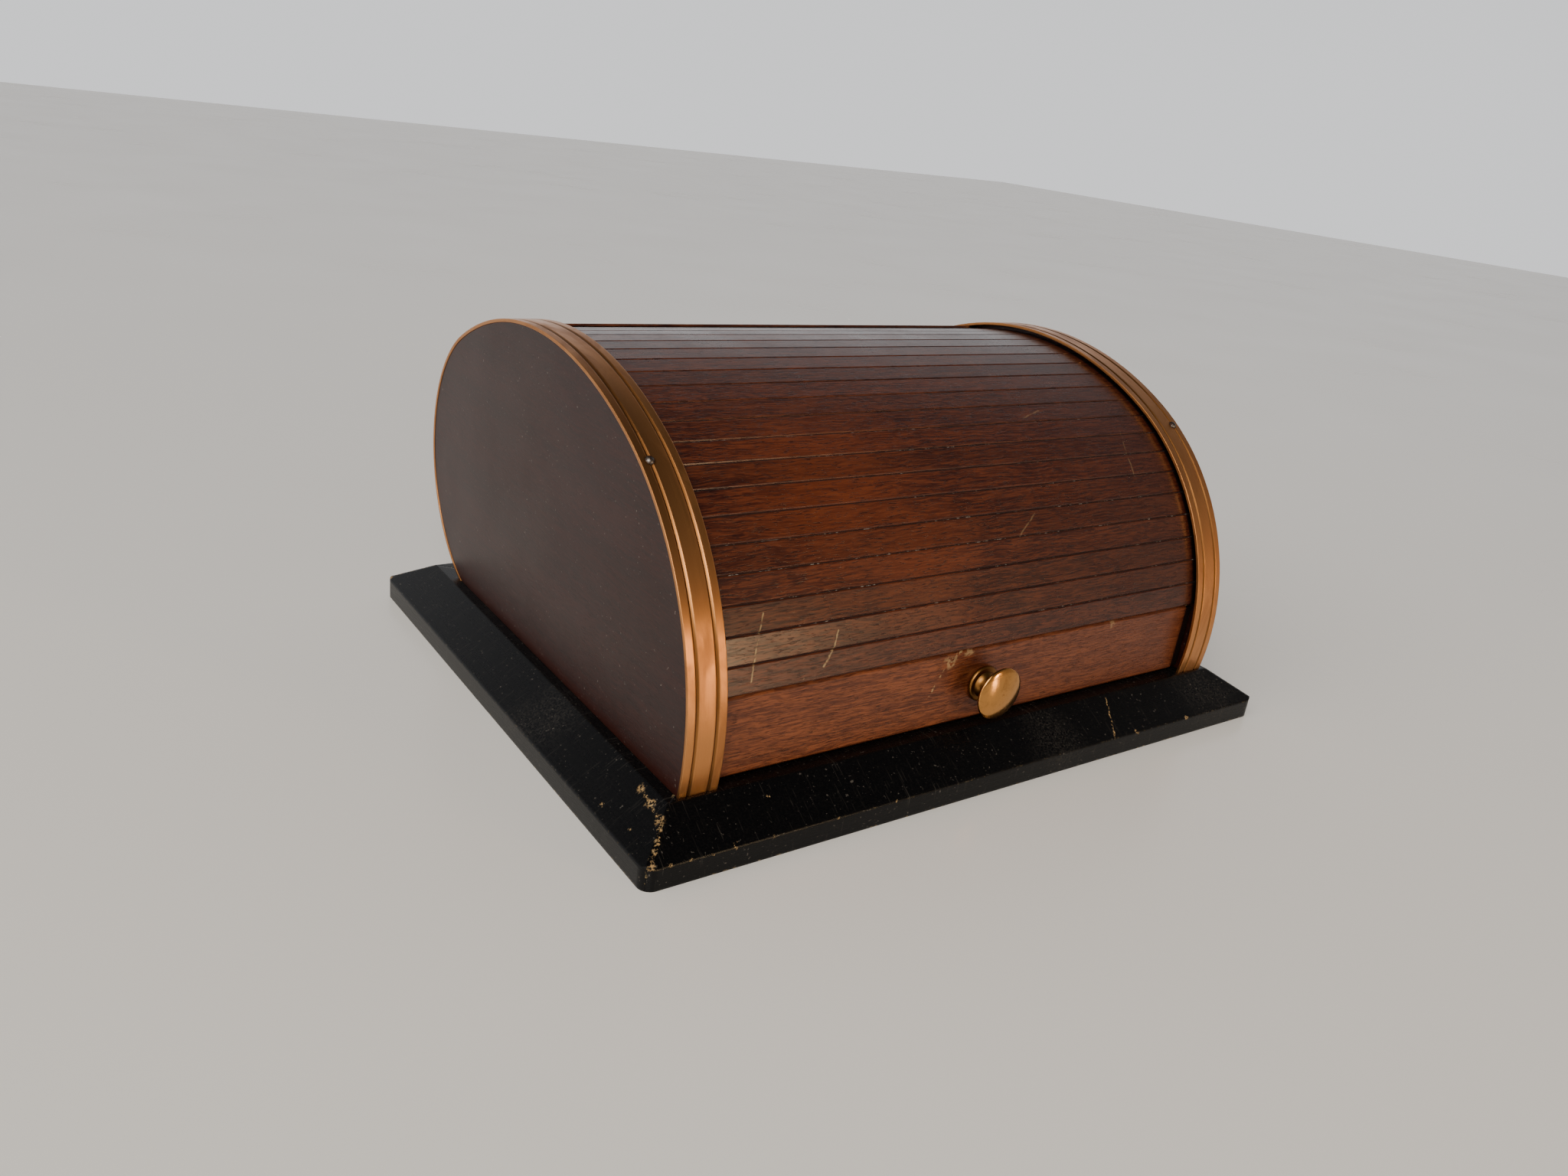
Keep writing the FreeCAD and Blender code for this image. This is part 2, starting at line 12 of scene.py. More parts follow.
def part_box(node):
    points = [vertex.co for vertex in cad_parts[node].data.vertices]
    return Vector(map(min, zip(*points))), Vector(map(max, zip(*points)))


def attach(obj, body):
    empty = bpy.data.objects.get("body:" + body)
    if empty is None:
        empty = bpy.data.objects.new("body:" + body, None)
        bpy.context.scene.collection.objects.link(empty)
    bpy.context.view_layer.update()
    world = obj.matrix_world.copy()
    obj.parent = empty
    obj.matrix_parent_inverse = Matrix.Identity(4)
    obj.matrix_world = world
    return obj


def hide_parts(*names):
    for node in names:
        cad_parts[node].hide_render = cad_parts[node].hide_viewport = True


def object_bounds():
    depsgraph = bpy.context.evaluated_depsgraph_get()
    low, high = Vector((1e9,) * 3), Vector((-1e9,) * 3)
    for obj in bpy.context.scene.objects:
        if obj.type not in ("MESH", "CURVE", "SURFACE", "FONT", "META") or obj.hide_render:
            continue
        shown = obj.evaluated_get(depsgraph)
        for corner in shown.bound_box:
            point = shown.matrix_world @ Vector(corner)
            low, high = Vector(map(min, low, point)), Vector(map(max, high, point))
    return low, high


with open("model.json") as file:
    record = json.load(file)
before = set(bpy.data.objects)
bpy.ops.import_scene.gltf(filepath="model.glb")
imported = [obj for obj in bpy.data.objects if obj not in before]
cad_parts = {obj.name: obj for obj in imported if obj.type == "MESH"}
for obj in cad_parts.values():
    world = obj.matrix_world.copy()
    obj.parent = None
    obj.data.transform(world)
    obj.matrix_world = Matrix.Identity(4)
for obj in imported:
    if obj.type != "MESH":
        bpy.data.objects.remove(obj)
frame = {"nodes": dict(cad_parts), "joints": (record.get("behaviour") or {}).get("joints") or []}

bl_info = {
    "name": "Tambour Lid Box",
    "version": (1, 0, 0),
    "blender": (4, 5, 0),
    "location": "3D View > Sidebar > Tambour Box",
    "description": "Finishes of a tambour lid box, its knob, pins and screw heads, and a studio",
    "category": "Object",
}

MM = 0.001
NODES = frame["nodes"]
CAD_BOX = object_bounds()
HINGE = Vector(frame["joints"][0]["pos_m"])  # centre of the round front, about which the lid turns
SLATS = sorted(name for name in NODES if name.startswith("slat_"))
SIDES = ("left", "right")
WINDOW_PLACE = Vector((-0.75, -0.85, 0.75))  # places of the lamps in metres
GLINT_PLACE = Vector((0.46, -1.05, 0.16))
DAYLIGHT_RUN = Vector((0.80, 0.22, -0.62))  # the way the even light runs


def linear(code):
    """Linear colour of an sRGB hex value."""
    parts = [int(code[i : i + 2], 16) / 255 for i in (1, 3, 5)]
    return [c / 12.92 if c <= 0.04045 else ((c + 0.055) / 1.055) ** 2.4 for c in parts] + [1.0]


def colour(name, description, code):
    """Colour setting with its default as a hex value."""
    return FloatVectorProperty(
        name=name, description=description, default=linear(code), subtype="COLOR", size=4, min=0, max=1
    )


def length(name, description, millimetres):
    """Length setting, given in millimetres and held in metres."""
    return FloatProperty(
        name=name, description=description, default=millimetres * MM, min=0, subtype="DISTANCE", unit="LENGTH"
    )


def share(name, description, default):
    """Setting between 0 and 1."""
    return FloatProperty(name=name, description=description, default=default, min=0, max=1, subtype="FACTOR")


def strength(name, description, default, unit="NONE"):
    """Strength of a light."""
    return FloatProperty(name=name, description=description, default=default, min=0, unit=unit)


def angle(name, description, degrees):
    """Angle setting, given in degrees and held in radians."""
    return FloatProperty(
        name=name, description=description, default=math.radians(degrees), subtype="ANGLE", unit="ROTATION"
    )


# Settings


class WoodSettings(bpy.types.PropertyGroup):
    """Colours and grain of the woods."""

    slat_dark: colour("Slats, dark", "Dark figure of the polished mahogany slats", "#2d110b")
    slat_light: colour("Slats, light", "Light figure of the polished mahogany slats", "#5c2e19")
    slat_warm: colour("Slats, warm patch", "Where the light has bleached the slats", "#6c3418")
    rail_dark: colour("Rail, dark", "Dark figure of the rail", "#4c2210")
    rail_light: colour("Rail, light", "Light figure of the rail", "#804627")
    cheek_dark: colour("Cheeks, dark", "Dark figure of the stained cheeks", "#1f0a07")
    cheek_light: colour("Cheeks, light", "Light figure of the stained cheeks", "#32130d")
    pore: colour("Pores", "Filled pores of the mahogany", "#160604")
    ebony: colour("Ebonised", "Black stain and lacquer of the plinth", "#050506")
    bare: colour("Bare wood", "Wood that shows where the lacquer has chipped", "#c2a878")
    pale_dark: colour("Pale wood, dark", "Late wood of the unstained inner parts", "#a87d4c")
    pale_light: colour("Pale wood, light", "Early wood of the unstained inner parts", "#cfae7c")
    dust: colour("Dust", "Dust and old wax", "#a9a095")
    figure_length: length("Figure length", "How far the figure runs with the grain", 26)
    figure_width: length("Figure width", "Width of the figure's ribbons", 1.5)
    fibre_width: length("Fibre width", "Width of the fine streaks", 0.36)
    fibre_share: share("Fibre share", "How much of the figure is fine streaks", 0.7)
    wave: length("Wave", "How far the streaks wander to either side", 1.4)
    pore_length: length("Pore length", "Length of a cut pore", 2.4)
    pore_width: length("Pore width", "Pores are 0.1 mm wide, drawn three times as wide to show", 0.3)
    gloss: share("Polish roughness", "Roughness of the polish", 0.24)


class BrassSettings(bpy.types.PropertyGroup):
    """Colours and surface of the brass."""

    strip: colour("Strip", "Red brass of the bands", "#d08f56")
    strip_dull: colour("Strip, dull", "Tarnish on the bands", "#94623c")
    strip_rough: share("Strip roughness", "Roughness of the satin face", 0.32)
    brushing: length("Brushing", "Rolling lines are finer than 0.1 mm, drawn coarser to show", 0.25)
    groove_in: length("Groove", "Centre of each groove from its edge of the strip", 2.3)
    knob: colour("Knob", "Yellow brass of the knob", "#c38c4e")
    knob_dull: colour("Knob, dull", "Brown patina in the hollows of the knob", "#5b3a18")
    knob_rough: share("Knob roughness", "Roughness of the polished face", 0.14)
    ring: length("Turning", "Turning marks are 0.1 mm apart, drawn coarser to show", 0.35)


class KnobSettings(bpy.types.PropertyGroup):
    """Sizes of the turned knob, past those that its solid gives."""

    rim: length("Rim", "Thickness of the head at its rim", 0.8)
    dome: length("Dome", "Height of the domed face", 1.2)
    neck: length("Neck", "Diameter of the neck", 4.8)
    collar: length("Collar", "Diameter of the collar", 9.6)
    collar_thick: length("Collar thickness", "Thickness of the collar", 1.3)
    segments: IntProperty(name="Segments", description="Steps round the knob", default=96, min=12, max=256)


class FastenerSettings(bpy.types.PropertyGroup):
    """Sizes of the heads that show."""

    pin_head: length("Pin head", "Diameter of the domed heads on the bands", 2.2)
    pin_rise: length("Pin rise", "Height of the domed heads", 0.7)
    slot: length("Slot", "Width of the screw slots", 0.9)
    slot_deep: length("Slot depth", "Depth of the screw slots", 0.6)
    steel: colour("Steel", "Aged steel of the screws and pins", "#6e6a66")
    rust: colour("Rust", "Brown film on the steel", "#3a241a")


class StageSettings(bpy.types.PropertyGroup):
    """Floor, light and camera."""

    floor: colour("Floor", "Plain pale table", "#f0eeea")
    floor_size: length("Floor size", "Side of the floor", 6000)
    wall: colour("Wall", "Pale wall round the back", "#f2f3f5")
    room: colour("Room", "Dimmer room in front", "#a3978b")
    ceiling: colour("Ceiling", "Dim ceiling", "#454547")
    surround: strength("Surround", "Strength of the light from the walls", 1.1)
    daylight: strength("Daylight", "Strength of the even light from high on the left", 1.7)
    daylight_tint: colour("Daylight tint", "Colour of the even light", "#fff6ea")
    daylight_spread: angle("Daylight spread", "Angle that the even light comes from", 70)
    window: strength("Window", "Power of the soft light from the left", 11.0, "POWER")
    window_tint: colour("Window tint", "Colour of the window", "#fffaf2")
    window_size: length("Window size", "Width and height of the window", 700)
    glint: strength("Glint", "Power of the low light from the front", 2.4, "POWER")
    glint_tint: colour("Glint tint", "Colour of the low light", "#ffd9a6")
    glint_width: length("Glint width", "Width of the low light", 100)
    glint_height: length("Glint height", "Height of the low light", 220)
    place: FloatVectorProperty(
        name="Camera place",
        description="Where the camera stands",
        default=(-0.20284, -0.24864, 0.14701),
        subtype="TRANSLATION",
        unit="LENGTH",
        precision=5,
    )
    azimuth: angle("Azimuth", "Side that the camera looks from", -37.2)
    elevation: angle("Elevation", "How far the camera looks down", 21.692)
    roll: angle("Roll", "Tilt of the picture", 7.371)
    lens: FloatProperty(name="Lens", description="Focal length on a full frame", default=27.42, unit="CAMERA")


# Wear that the box has, in millimetres in its own frame. A chip, stain or scuff is its centre and radius, and
# a scratch or crack is the ends of its straight stretches.

LOWER_ARRIS = (-80.2, 5.2)  # y and z of the plinth's lower front arris
ARRIS_CHIPS = (
    (-94.1, 0.6),
    (-89.5, 0.5),
    (-84.0, 0.4),
    (-78.7, 0.7),
    (-68.9, 0.5),
    (-52.0, 0.5),
    (-35.5, 0.4),
    (-8.0, 0.5),
    (48.5, 0.8),
    (69.3, 0.8),
    (76.8, 0.5),
)
CORNER_CHIPS = (
    (-90.8, -60.5, 11.2, 1.3),
    (-91.5, -66.0, 10.8, 1.5),
    (-92.4, -71.5, 10.4, 1.5),
    (-93.6, -73.6, 9.6, 1.0),
    (-95.0, -75.8, 8.3, 0.8),
    (-98.0, -79.6, 5.8, 0.9),
)
OTHER_CHIPS = (
    (-97.1, -68.0, 7.1, 0.5),
    (-97.8, -56.6, 6.7, 0.7),
    (-99.0, 78.6, 5.6, 0.9),
    (-77.9, -79.3, 5.9, 0.4),
    (-66.3, -72.8, 10.0, 0.4),
)
PLINTH_CHIPS = [(x, *LOWER_ARRIS, radius) for x, radius in ARRIS_CHIPS] + [*CORNER_CHIPS, *OTHER_CHIPS]
PLINTH_MITRE = (((-90.6, -60.0, 11.2), (-92.8, -73.0, 9.9)), ((-92.8, -73.0, 9.9), (-98.6, -79.8, 5.2)))
PLINTH_CRACKS = (((45.4, -69.6, 12.1), (43.2, -73.6, 9.5)), ((43.2, -73.6, 9.5), (39.4, -80.2, 5.3)))
PLINTH_RUBBED = ((83.0, -73.0, 9.5, 17.0), (-93.0, -20.0, 9.0, 16.0), (20.0, -76.0, 8.0, 14.0))
LID_SCRATCHES = (
    ((-66.1, -62.5, 48.9), (-68.6, -64.9, 42.1)),
    ((-68.6, -64.9, 42.1), (-70.2, -66.6, 35.4)),
    ((-46.9, -64.7, 43.0), (-48.4, -65.7, 39.2)),
    ((-48.4, -65.7, 39.2), (-51.1, -66.5, 35.6)),
    ((-56.4, -66.8, 33.9), (-57.6, -67.0, 32.2)),
)
LID_HAIRLINES = (
    ((31.0, -34.6, 79.2), (38.7, -32.2, 80.6)),
    ((64.2, -39.8, 75.9), (61.6, -46.0, 71.2)),
    ((61.6, -46.0, 71.2), (60.8, -51.0, 66.5)),
    ((12.0, -58.3, 56.9), (19.0, -55.5, 61.2)),
)
LID_BLEACHED = ((-40.0, -46.0, 70.0, 34.0), (-20.0, -60.0, 54.0, 24.0))
RAIL_SCRATCHES = (((-16.9, -66.0, 21.9), (-13.6, -66.0, 28.6)), ((-14.2, -66.0, 29.6), (-8.0, -66.0, 32.4)))
RAIL_STAINS = ((-5.0, -66.0, 27.0, 8.0), (1.0, -66.0, 21.0, 9.0))
RAIL_SCUFFS = ((-12.0, -66.0, 30.0, 2.2), (-6.0, -66.0, 31.6, 1.8), (46.0, -66.0, 31.4, 1.6))


# Shader building


def new_material(name):
    """Empty material of this name and its node tree."""
    material = bpy.data.materials.new(name)
    material.use_nodes = True
    material.node_tree.nodes.clear()
    return material, material.node_tree


def add(tree, kind, links=None, give=None, **settings):
    """Adds a node with its settings and links, and gives one of its outputs, the first if none is named."""
    node = tree.nodes.new("ShaderNode" + kind)
    for name, value in settings.items():
        setattr(node, name, value)
    for key, value in (links or {}).items():
        sockets = [s for s in node.inputs if s.enabled]
        socket = sockets[key] if isinstance(key, int) else next(s for s in sockets if s.name == key)
        if isinstance(value, bpy.types.NodeSocket):
            tree.links.new(value, socket)
        else:
            socket.default_value = value
    return next((s for s in node.outputs if s.enabled and give in (None, s.name)), None)


def noise(tree, place, size, detail=2.0, distortion=0.0, roughness=0.5):
    """Noise whose features have this size in metres along X, Y and Z."""
    scaled = add(tree, "VectorMath", {0: place, 1: [1 / s for s in size]}, operation="MULTIPLY")
    return add(
        tree,
        "TexNoise",
        {"Vector": scaled, "Scale": 1.0, "Detail": detail, "Roughness": roughness, "Distortion": distortion},
    )


def spots(tree, place, size, low, high, detail=2.0, distortion=0.0, roughness=0.5):
    """Mask that rises from 0 to 1 where noise of this size goes from low to high."""
    value = noise(tree, place, size, detail, distortion, roughness)
    return add(
        tree, "MapRange", {"Value": value, "From Min": low, "From Max": high}, interpolation_type="SMOOTHSTEP"
    )


def layered(tree, base, *layers):
    """Colour with layers laid over it in turn, each a mask, how strongly it covers, and its colour."""
    for mask, weight, over in layers:
        cover = add(tree, "Math", {0: mask, 1: weight}, operation="MULTIPLY")
        base = add(tree, "Mix", {"Factor": cover, "A": base, "B": over}, data_type="RGBA")
    return base


def either(tree, masks):
    """The largest of several masks."""
    found = masks[0]
    for mask in masks[1:]:
        found = add(tree, "Math", {0: found, 1: mask}, operation="MAXIMUM")
    return found


def near_any(tree, reaches):
    """Mask of what lies near any of several things, each a distance, the mark's end and where it is full."""
    masks = []
    for away, end, full in reaches:
        span = {"Value": away, "From Min": end, "From Max": full}
        masks.append(add(tree, "MapRange", span, interpolation_type="SMOOTHSTEP"))
    return either(tree, masks)


def ragged(tree, place, reach, size):
    """The place moved about by noise, so that what is measured from it has ragged edges."""
    scaled = add(tree, "VectorMath", {0: place, "Scale": 1 / size}, operation="SCALE")
    waver = add(tree, "TexNoise", {"Vector": scaled, "Scale": 1.0, "Detail": 3.0}, give="Color")
    centred = add(tree, "VectorMath", {0: waver, 1: (0.5, 0.5, 0.5)}, operation="SUBTRACT")
    moved = add(tree, "VectorMath", {0: centred, "Scale": 2 * reach}, operation="SCALE")
    return add(tree, "VectorMath", {0: place, 1: moved}, operation="ADD")


def patches(tree, place, rounds, soft):
    """Mask of round patches, each (x, y, z, radius) in millimetres, soft over this share of the radius."""
    reaches = []
    for x, y, z, radius in rounds:
        centre = (x * MM, y * MM, z * MM)
        away = add(tree, "VectorMath", {0: place, 1: centre}, operation="DISTANCE", give="Value")
        reaches.append((away, radius * MM, radius * MM * (1 - soft)))
    return near_any(tree, reaches)


def strokes(tree, place, lines, width):
    """Mask of straight strokes, each a pair of points in millimetres, that reach this far to either side."""
    reaches = []
    for start, end in lines:
        a, run = Vector(start) * MM, (Vector(end) - Vector(start)) * MM
        from_a = add(tree, "VectorMath", {0: place, 1: a}, operation="SUBTRACT")
        unit = run / run.length_squared
        along = add(tree, "VectorMath", {0: from_a, 1: unit}, operation="DOT_PRODUCT", give="Value")
        held = add(tree, "Clamp", {"Value": along})
        nearest = add(tree, "VectorMath", {0: run, "Scale": held}, operation="SCALE")
        away = add(tree, "VectorMath", {0: from_a, 1: nearest}, operation="DISTANCE", give="Value")
        reaches.append((away, width, width * 0.2))
    return near_any(tree, reaches)


def edges(tree, radius):
    """Mask of the sharp edges within a radius, and the normal rounded over them."""
    rounded = add(tree, "Bevel", {"Radius": radius}, samples=6)
    true = add(tree, "NewGeometry", give="True Normal")
    alike = add(tree, "VectorMath", {0: rounded, 1: true}, operation="DOT_PRODUCT", give="Value")
    # Cosines of the angles, about 10 and 26 degrees, at which wear starts and is full
    span = {"Value": alike, "From Min": 0.985, "From Max": 0.90}
    return add(tree, "MapRange", span, interpolation_type="SMOOTHSTEP"), rounded


def right_end(tree, place, end):
    """Masks of painted shade on a board's right half, where less light falls, and of a painted shadow on its
    last 3 mm, which run under the lip of the band.
    """
    across = add(tree, "SeparateXYZ", {0: place}, give="X")
    half = {"Value": across, "From Min": -0.3 * end, "From Max": end}
    last = {"Value": across, "From Min": end - 3 * MM, "From Max": end - 2 * MM}
    return [add(tree, "MapRange", span, interpolation_type="SMOOTHSTEP") for span in (half, last)]


def surface(tree, **sockets):
    """Principled surface from its sockets, by name with underscores for spaces."""
    shader = add(tree, "BsdfPrincipled", {name.replace("_", " "): value for name, value in sockets.items()})
    add(tree, "OutputMaterial", {"Surface": shader})


def own_place(tree, place):
    """The place moved along X by an amount of each piece's own, so that no two boards are alike."""
    reach = 400 * MM
    random = add(tree, "ObjectInfo", give="Random")
    shift = add(tree, "Math", {0: random, 1: reach}, operation="MULTIPLY")
    moved = add(tree, "CombineXYZ", {"X": shift})
    return add(tree, "VectorMath", {0: place, 1: moved}, operation="ADD")


def lengthways(along, long, wide):
    """Size along X, Y and Z of what is this long along one axis and this wide across it."""
    return [long if axis == along else wide for axis in "XYZ"]


def wood_grain(tree, place, fine_place, wood, along="X", coarse=1.0):
    """Figure and fibre from 0 to 1, and the mask of the pores, with the grain running along an axis."""
    ribbon_size = lengthways(along, wood.figure_length * coarse, wood.figure_width * coarse)
    ribbon = noise(tree, place, ribbon_size, detail=3.0, distortion=1.2)
    wavy = ragged(tree, fine_place, wood.wave, 9 * wood.wave)  # the waves are long and shallow
    fibre = noise(tree, wavy, lengthways(along, wood.figure_length / 3, wood.fibre_width), roughness=0.6)
    both = add(tree, "Mix", {"Factor": wood.fibre_share, "A": ribbon, "B": fibre})
    span = {"Value": both, "From Min": 0.36, "From Max": 0.66}
    figure = add(tree, "MapRange", span, interpolation_type="SMOOTHSTEP")
    pore_size = lengthways(along, wood.pore_length, wood.pore_width)
    return figure, spots(tree, fine_place, pore_size, 0.58, 0.68, detail=1.0)


# Materials


def french_polished_mahogany(wood):
    """Slats: sapele-red mahogany, planed, filled and french polished. Ribbons of figure run on from slat to
    slat under a warm gloss, and the fine dark pores show at a glance along the grain."""
    material, tree = new_material("french_polished_mahogany")
    place = add(tree, "TexCoord", give="Object")
    figure, pores = wood_grain(tree, place, own_place(tree, place), wood)
    bleached = patches(tree, ragged(tree, place, 9 * MM, 18 * MM), LID_BLEACHED, soft=0.9)
    base = layered(tree, wood.slat_dark, (figure, 1.0, wood.slat_light), (bleached, 0.4, wood.slat_warm))
    tint = add(tree, "ObjectInfo", give="Color")
    base = add(tree, "Mix", {"Factor": 1.0, "A": base, "B": tint}, data_type="RGBA", blend_type="MULTIPLY")
    # Painted shade: the right half is darkened, and the last 3 mm under the band's lip are blacked as its
    # shadow
    painted_shade_right, painted_shadow_under_band = right_end(tree, place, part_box(SLATS[0])[1].x)
    scored = ragged(tree, place, 0.5 * MM, 3 * MM)
    hairlines = strokes(tree, scored, LID_HAIRLINES, 0.35 * MM)
    hairlines = add(tree, "Math", {0: hairlines, 1: 0.35}, operation="MULTIPLY")
    scratched = either(tree, [strokes(tree, scored, LID_SCRATCHES, 0.34 * MM), hairlines])
    bitten = spots(tree, place, [1.2 * MM] * 3, 0.30, 0.50)  # a scratch shows only where it bit
    scratched = add(tree, "Math", {0: scratched, 1: bitten}, operation="MULTIPLY")
    worn, rounded = edges(tree, 0.22 * MM)
    base = layered(
        tree,
        base,
        (pores, 0.6, wood.pore),
        (painted_shade_right, 0.45, wood.slat_dark),
        (painted_shadow_under_band, 0.95, wood.ebony),
        (scratched, 0.42, wood.bare),
        (worn, 0.35, wood.pore),
    )
    hazy = noise(tree, place, [14 * MM] * 3, detail=3.0)
    handled = {"Value": hazy, "To Min": wood.gloss * 0.8, "To Max": wood.gloss * 1.7}
    sunk = either(tree, [pores, scratched])
    surface(
        tree,
        Base_Color=base,
        Roughness=add(tree, "MapRange", handled),
        Normal=add(tree, "Bump", {"Distance": 0.035 * MM, "Height": sunk, "Normal": rounded}, invert=True),
        Specular_IOR_Level=0.35,
        Coat_Weight=0.12,
        Coat_Roughness=0.18,
    )
    return material


def oiled_mahogany_rail(wood):
    """Rail: a lighter, quarter-sawn length of the same wood, thinly polished. It looks orange and silky,
    stained round the knob by the polish that hands and cloths have left, with pale scuffs beside it."""
    material, tree = new_material("oiled_mahogany_rail")
    place = add(tree, "TexCoord", give="Object")
    figure, pores = wood_grain(tree, place, place, wood, coarse=1.3)
    stained = patches(tree, ragged(tree, place, 4 * MM, 7 * MM), RAIL_STAINS, soft=0.85)
    scuffed = patches(tree, ragged(tree, place, 1.6 * MM, 2 * MM), RAIL_SCUFFS, soft=0.5)
    scuffed = add(tree, "Math", {0: scuffed, 1: 0.6}, operation="MULTIPLY")
    scored = strokes(tree, ragged(tree, place, 0.5 * MM, 2.5 * MM), RAIL_SCRATCHES, 0.45 * MM)
    bitten = spots(tree, place, [0.9 * MM] * 3, 0.40, 0.56)
    scratched = add(tree, "Math", {0: either(tree, [scored, scuffed]), 1: bitten}, operation="MULTIPLY")
    worn, rounded = edges(tree, 0.5 * MM)
    # Painted shade: the right half is darkened, and the last 3 mm under the band's lip are blacked as its
    # shadow
    painted_shade_right, painted_shadow_under_band = right_end(tree, place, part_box("lead_rail")[1].x)
    base = layered(
        tree,
        wood.rail_dark,
        (figure, 1.0, wood.rail_light),
        (stained, 0.45, wood.slat_dark),
        (pores, 0.45, wood.pore),
        (scratched, 0.6, wood.bare),
        (worn, 0.35, wood.slat_warm),
        (painted_shade_right, 0.5, wood.rail_dark),
        (painted_shadow_under_band, 0.95, wood.ebony),
    )
    sunk = either(tree, [pores, scratched])
    surface(
        tree,
        Base_Color=base,
        Roughness=add(tree, "MapRange", {"Value": stained, "To Min": 0.42, "To Max": 0.28}),
        Normal=add(tree, "Bump", {"Distance": 0.04 * MM, "Height": sunk, "Normal": rounded}, invert=True),
        Specular_IOR_Level=0.35,
        Coat_Weight=0.1,
        Coat_Roughness=0.25,
    )
    return material


def stained_mahogany_cheek(wood):
    """Cheeks: close-grained mahogany, stained dark and polished level. The figure hardly shows through the
    maroon, the face is smooth and even, and a line along the foot is drawn redder."""
    material, tree = new_material("stained_mahogany_cheek")
    place = add(tree, "TexCoord", give="Object")
    figure, pores = wood_grain(tree, place, place, wood, along="Y", coarse=4.0)
    # Redder along the foot: full up to 2.2 mm above it and gone by 3.4 mm
    height = add(tree, "SeparateXYZ", {0: ragged(tree, place, 0.8 * MM, 12 * MM)}, give="Z")
    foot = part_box("cheek_left")[0].z
    span = {"Value": height, "From Min": foot + 3.4 * MM, "From Max": foot + 2.2 * MM}
    redder_foot = add(tree, "MapRange", span, interpolation_type="SMOOTHSTEP")
    specks = spots(tree, place, [0.7 * MM] * 3, 0.74, 0.78, detail=1.0)
    worn, rounded = edges(tree, 0.5 * MM)
    base = layered(
        tree,
        wood.cheek_dark,
        (figure, 0.7, wood.cheek_light),
        (pores, 0.25, wood.pore),
        (redder_foot, 0.55, wood.slat_dark),
        (specks, 0.25, wood.dust),
        (worn, 0.3, wood.slat_light),
    )
    hazy = noise(tree, place, [22 * MM] * 3, detail=4.0)
    surface(
        tree,
        Base_Color=base,
        Roughness=add(tree, "MapRange", {"Value": hazy, "To Min": 0.26, "To Max": 0.42}),
        Normal=add(tree, "Bump", {"Distance": 0.01 * MM, "Height": pores, "Normal": rounded}, invert=True),
        Specular_IOR_Level=0.3,
    )
    return material


def ebonised_lacquer(wood, name, along):
    """Plinth: beech stained black and lacquered. It is satin and nearly colourless, greyed by dust and
    rubbing, with pale wood showing in the chips at the corners and along the lower arris."""
    material, tree = new_material(name)
    place = add(tree, "TexCoord", give="Object")
    worn, rounded = edges(tree, 0.7 * MM)

    torn = ragged(tree, place, 1.1 * MM, 1.0 * MM)
    wandering = ragged(tree, place, 0.9 * MM, 2.0 * MM)
    bruises = [
        patches(tree, torn, PLINTH_CHIPS, soft=0.6),
        strokes(tree, torn, PLINTH_MITRE, 0.42 * MM),
        strokes(tree, wandering, PLINTH_CRACKS, 0.36 * MM),
    ]
    lifted = spots(tree, place, [0.55 * MM] * 3, 0.42, 0.56, detail=3.0, roughness=0.6)
    bare = add(tree, "Math", {0: either(tree, bruises), 1: lifted}, operation="MULTIPLY")
    thin = spots(tree, place, [1.3 * MM] * 3, 0.56, 0.62, detail=5.0, roughness=0.65)
    rubbed_through = add(tree, "Math", {0: thin, 1: worn}, operation="MULTIPLY")

    hairs = spots(tree, place, lengthways(along, 0.4 * MM, 9 * MM), 0.64, 0.72)  # across the moulding
    specks = spots(tree, place, [0.8 * MM] * 3, 0.66, 0.71, detail=3.0, roughness=0.6)
    up = add(tree, "SeparateXYZ", {0: add(tree, "NewGeometry", give="Normal")}, give="Z")
    level = add(tree, "MapRange", {"Value": up, "From Min": 0.7}, interpolation_type="SMOOTHSTEP")
    settled = add(tree, "Math", {0: level, 1: 0.22}, operation="MULTIPLY")
    rubbed = patches(tree, ragged(tree, place, 8 * MM, 12 * MM), PLINTH_RUBBED, soft=0.9)
    fine = spots(tree, place, [0.5 * MM] * 3, 0.44, 0.74, detail=4.0, roughness=0.7)
    dusty = add(tree, "Math", {0: either(tree, [settled, rubbed]), 1: fine}, operation="MULTIPLY")

    splinters = noise(tree, place, [0.8 * MM] * 3, detail=3.0)
    broken_wood = layered(tree, wood.pale_dark, (splinters, 1.0, wood.bare))
    base = layered(
        tree,
        wood.ebony,
        (dusty, 0.08, wood.dust),
        (hairs, 0.04, wood.dust),
        (specks, 0.16, wood.dust),
        (rubbed_through, 0.6, wood.bare),
        (bare, 0.8, broken_wood),
    )
    brushed = noise(tree, place, lengthways(along, 60 * MM, 0.5 * MM), distortion=0.2)
    gloss = add(tree, "MapRange", {"Value": brushed, "To Min": 0.22, "To Max": 0.34})
    matt = either(tree, [dusty, bare])
    pitted = add(tree, "Math", {0: bare, 1: -0.9}, operation="MULTIPLY")
    relief = add(tree, "Math", {0: brushed, 1: 0.12, 2: pitted}, operation="MULTIPLY_ADD")
    surface(
        tree,
        Base_Color=base,
        Roughness=add(tree, "Math", {0: matt, 1: 0.35, 2: gloss}, operation="MULTIPLY_ADD"),
        Normal=add(tree, "Bump", {"Distance": 0.15 * MM, "Height": relief, "Normal": rounded}),
        Specular_IOR_Level=0.16,
    )
    return material


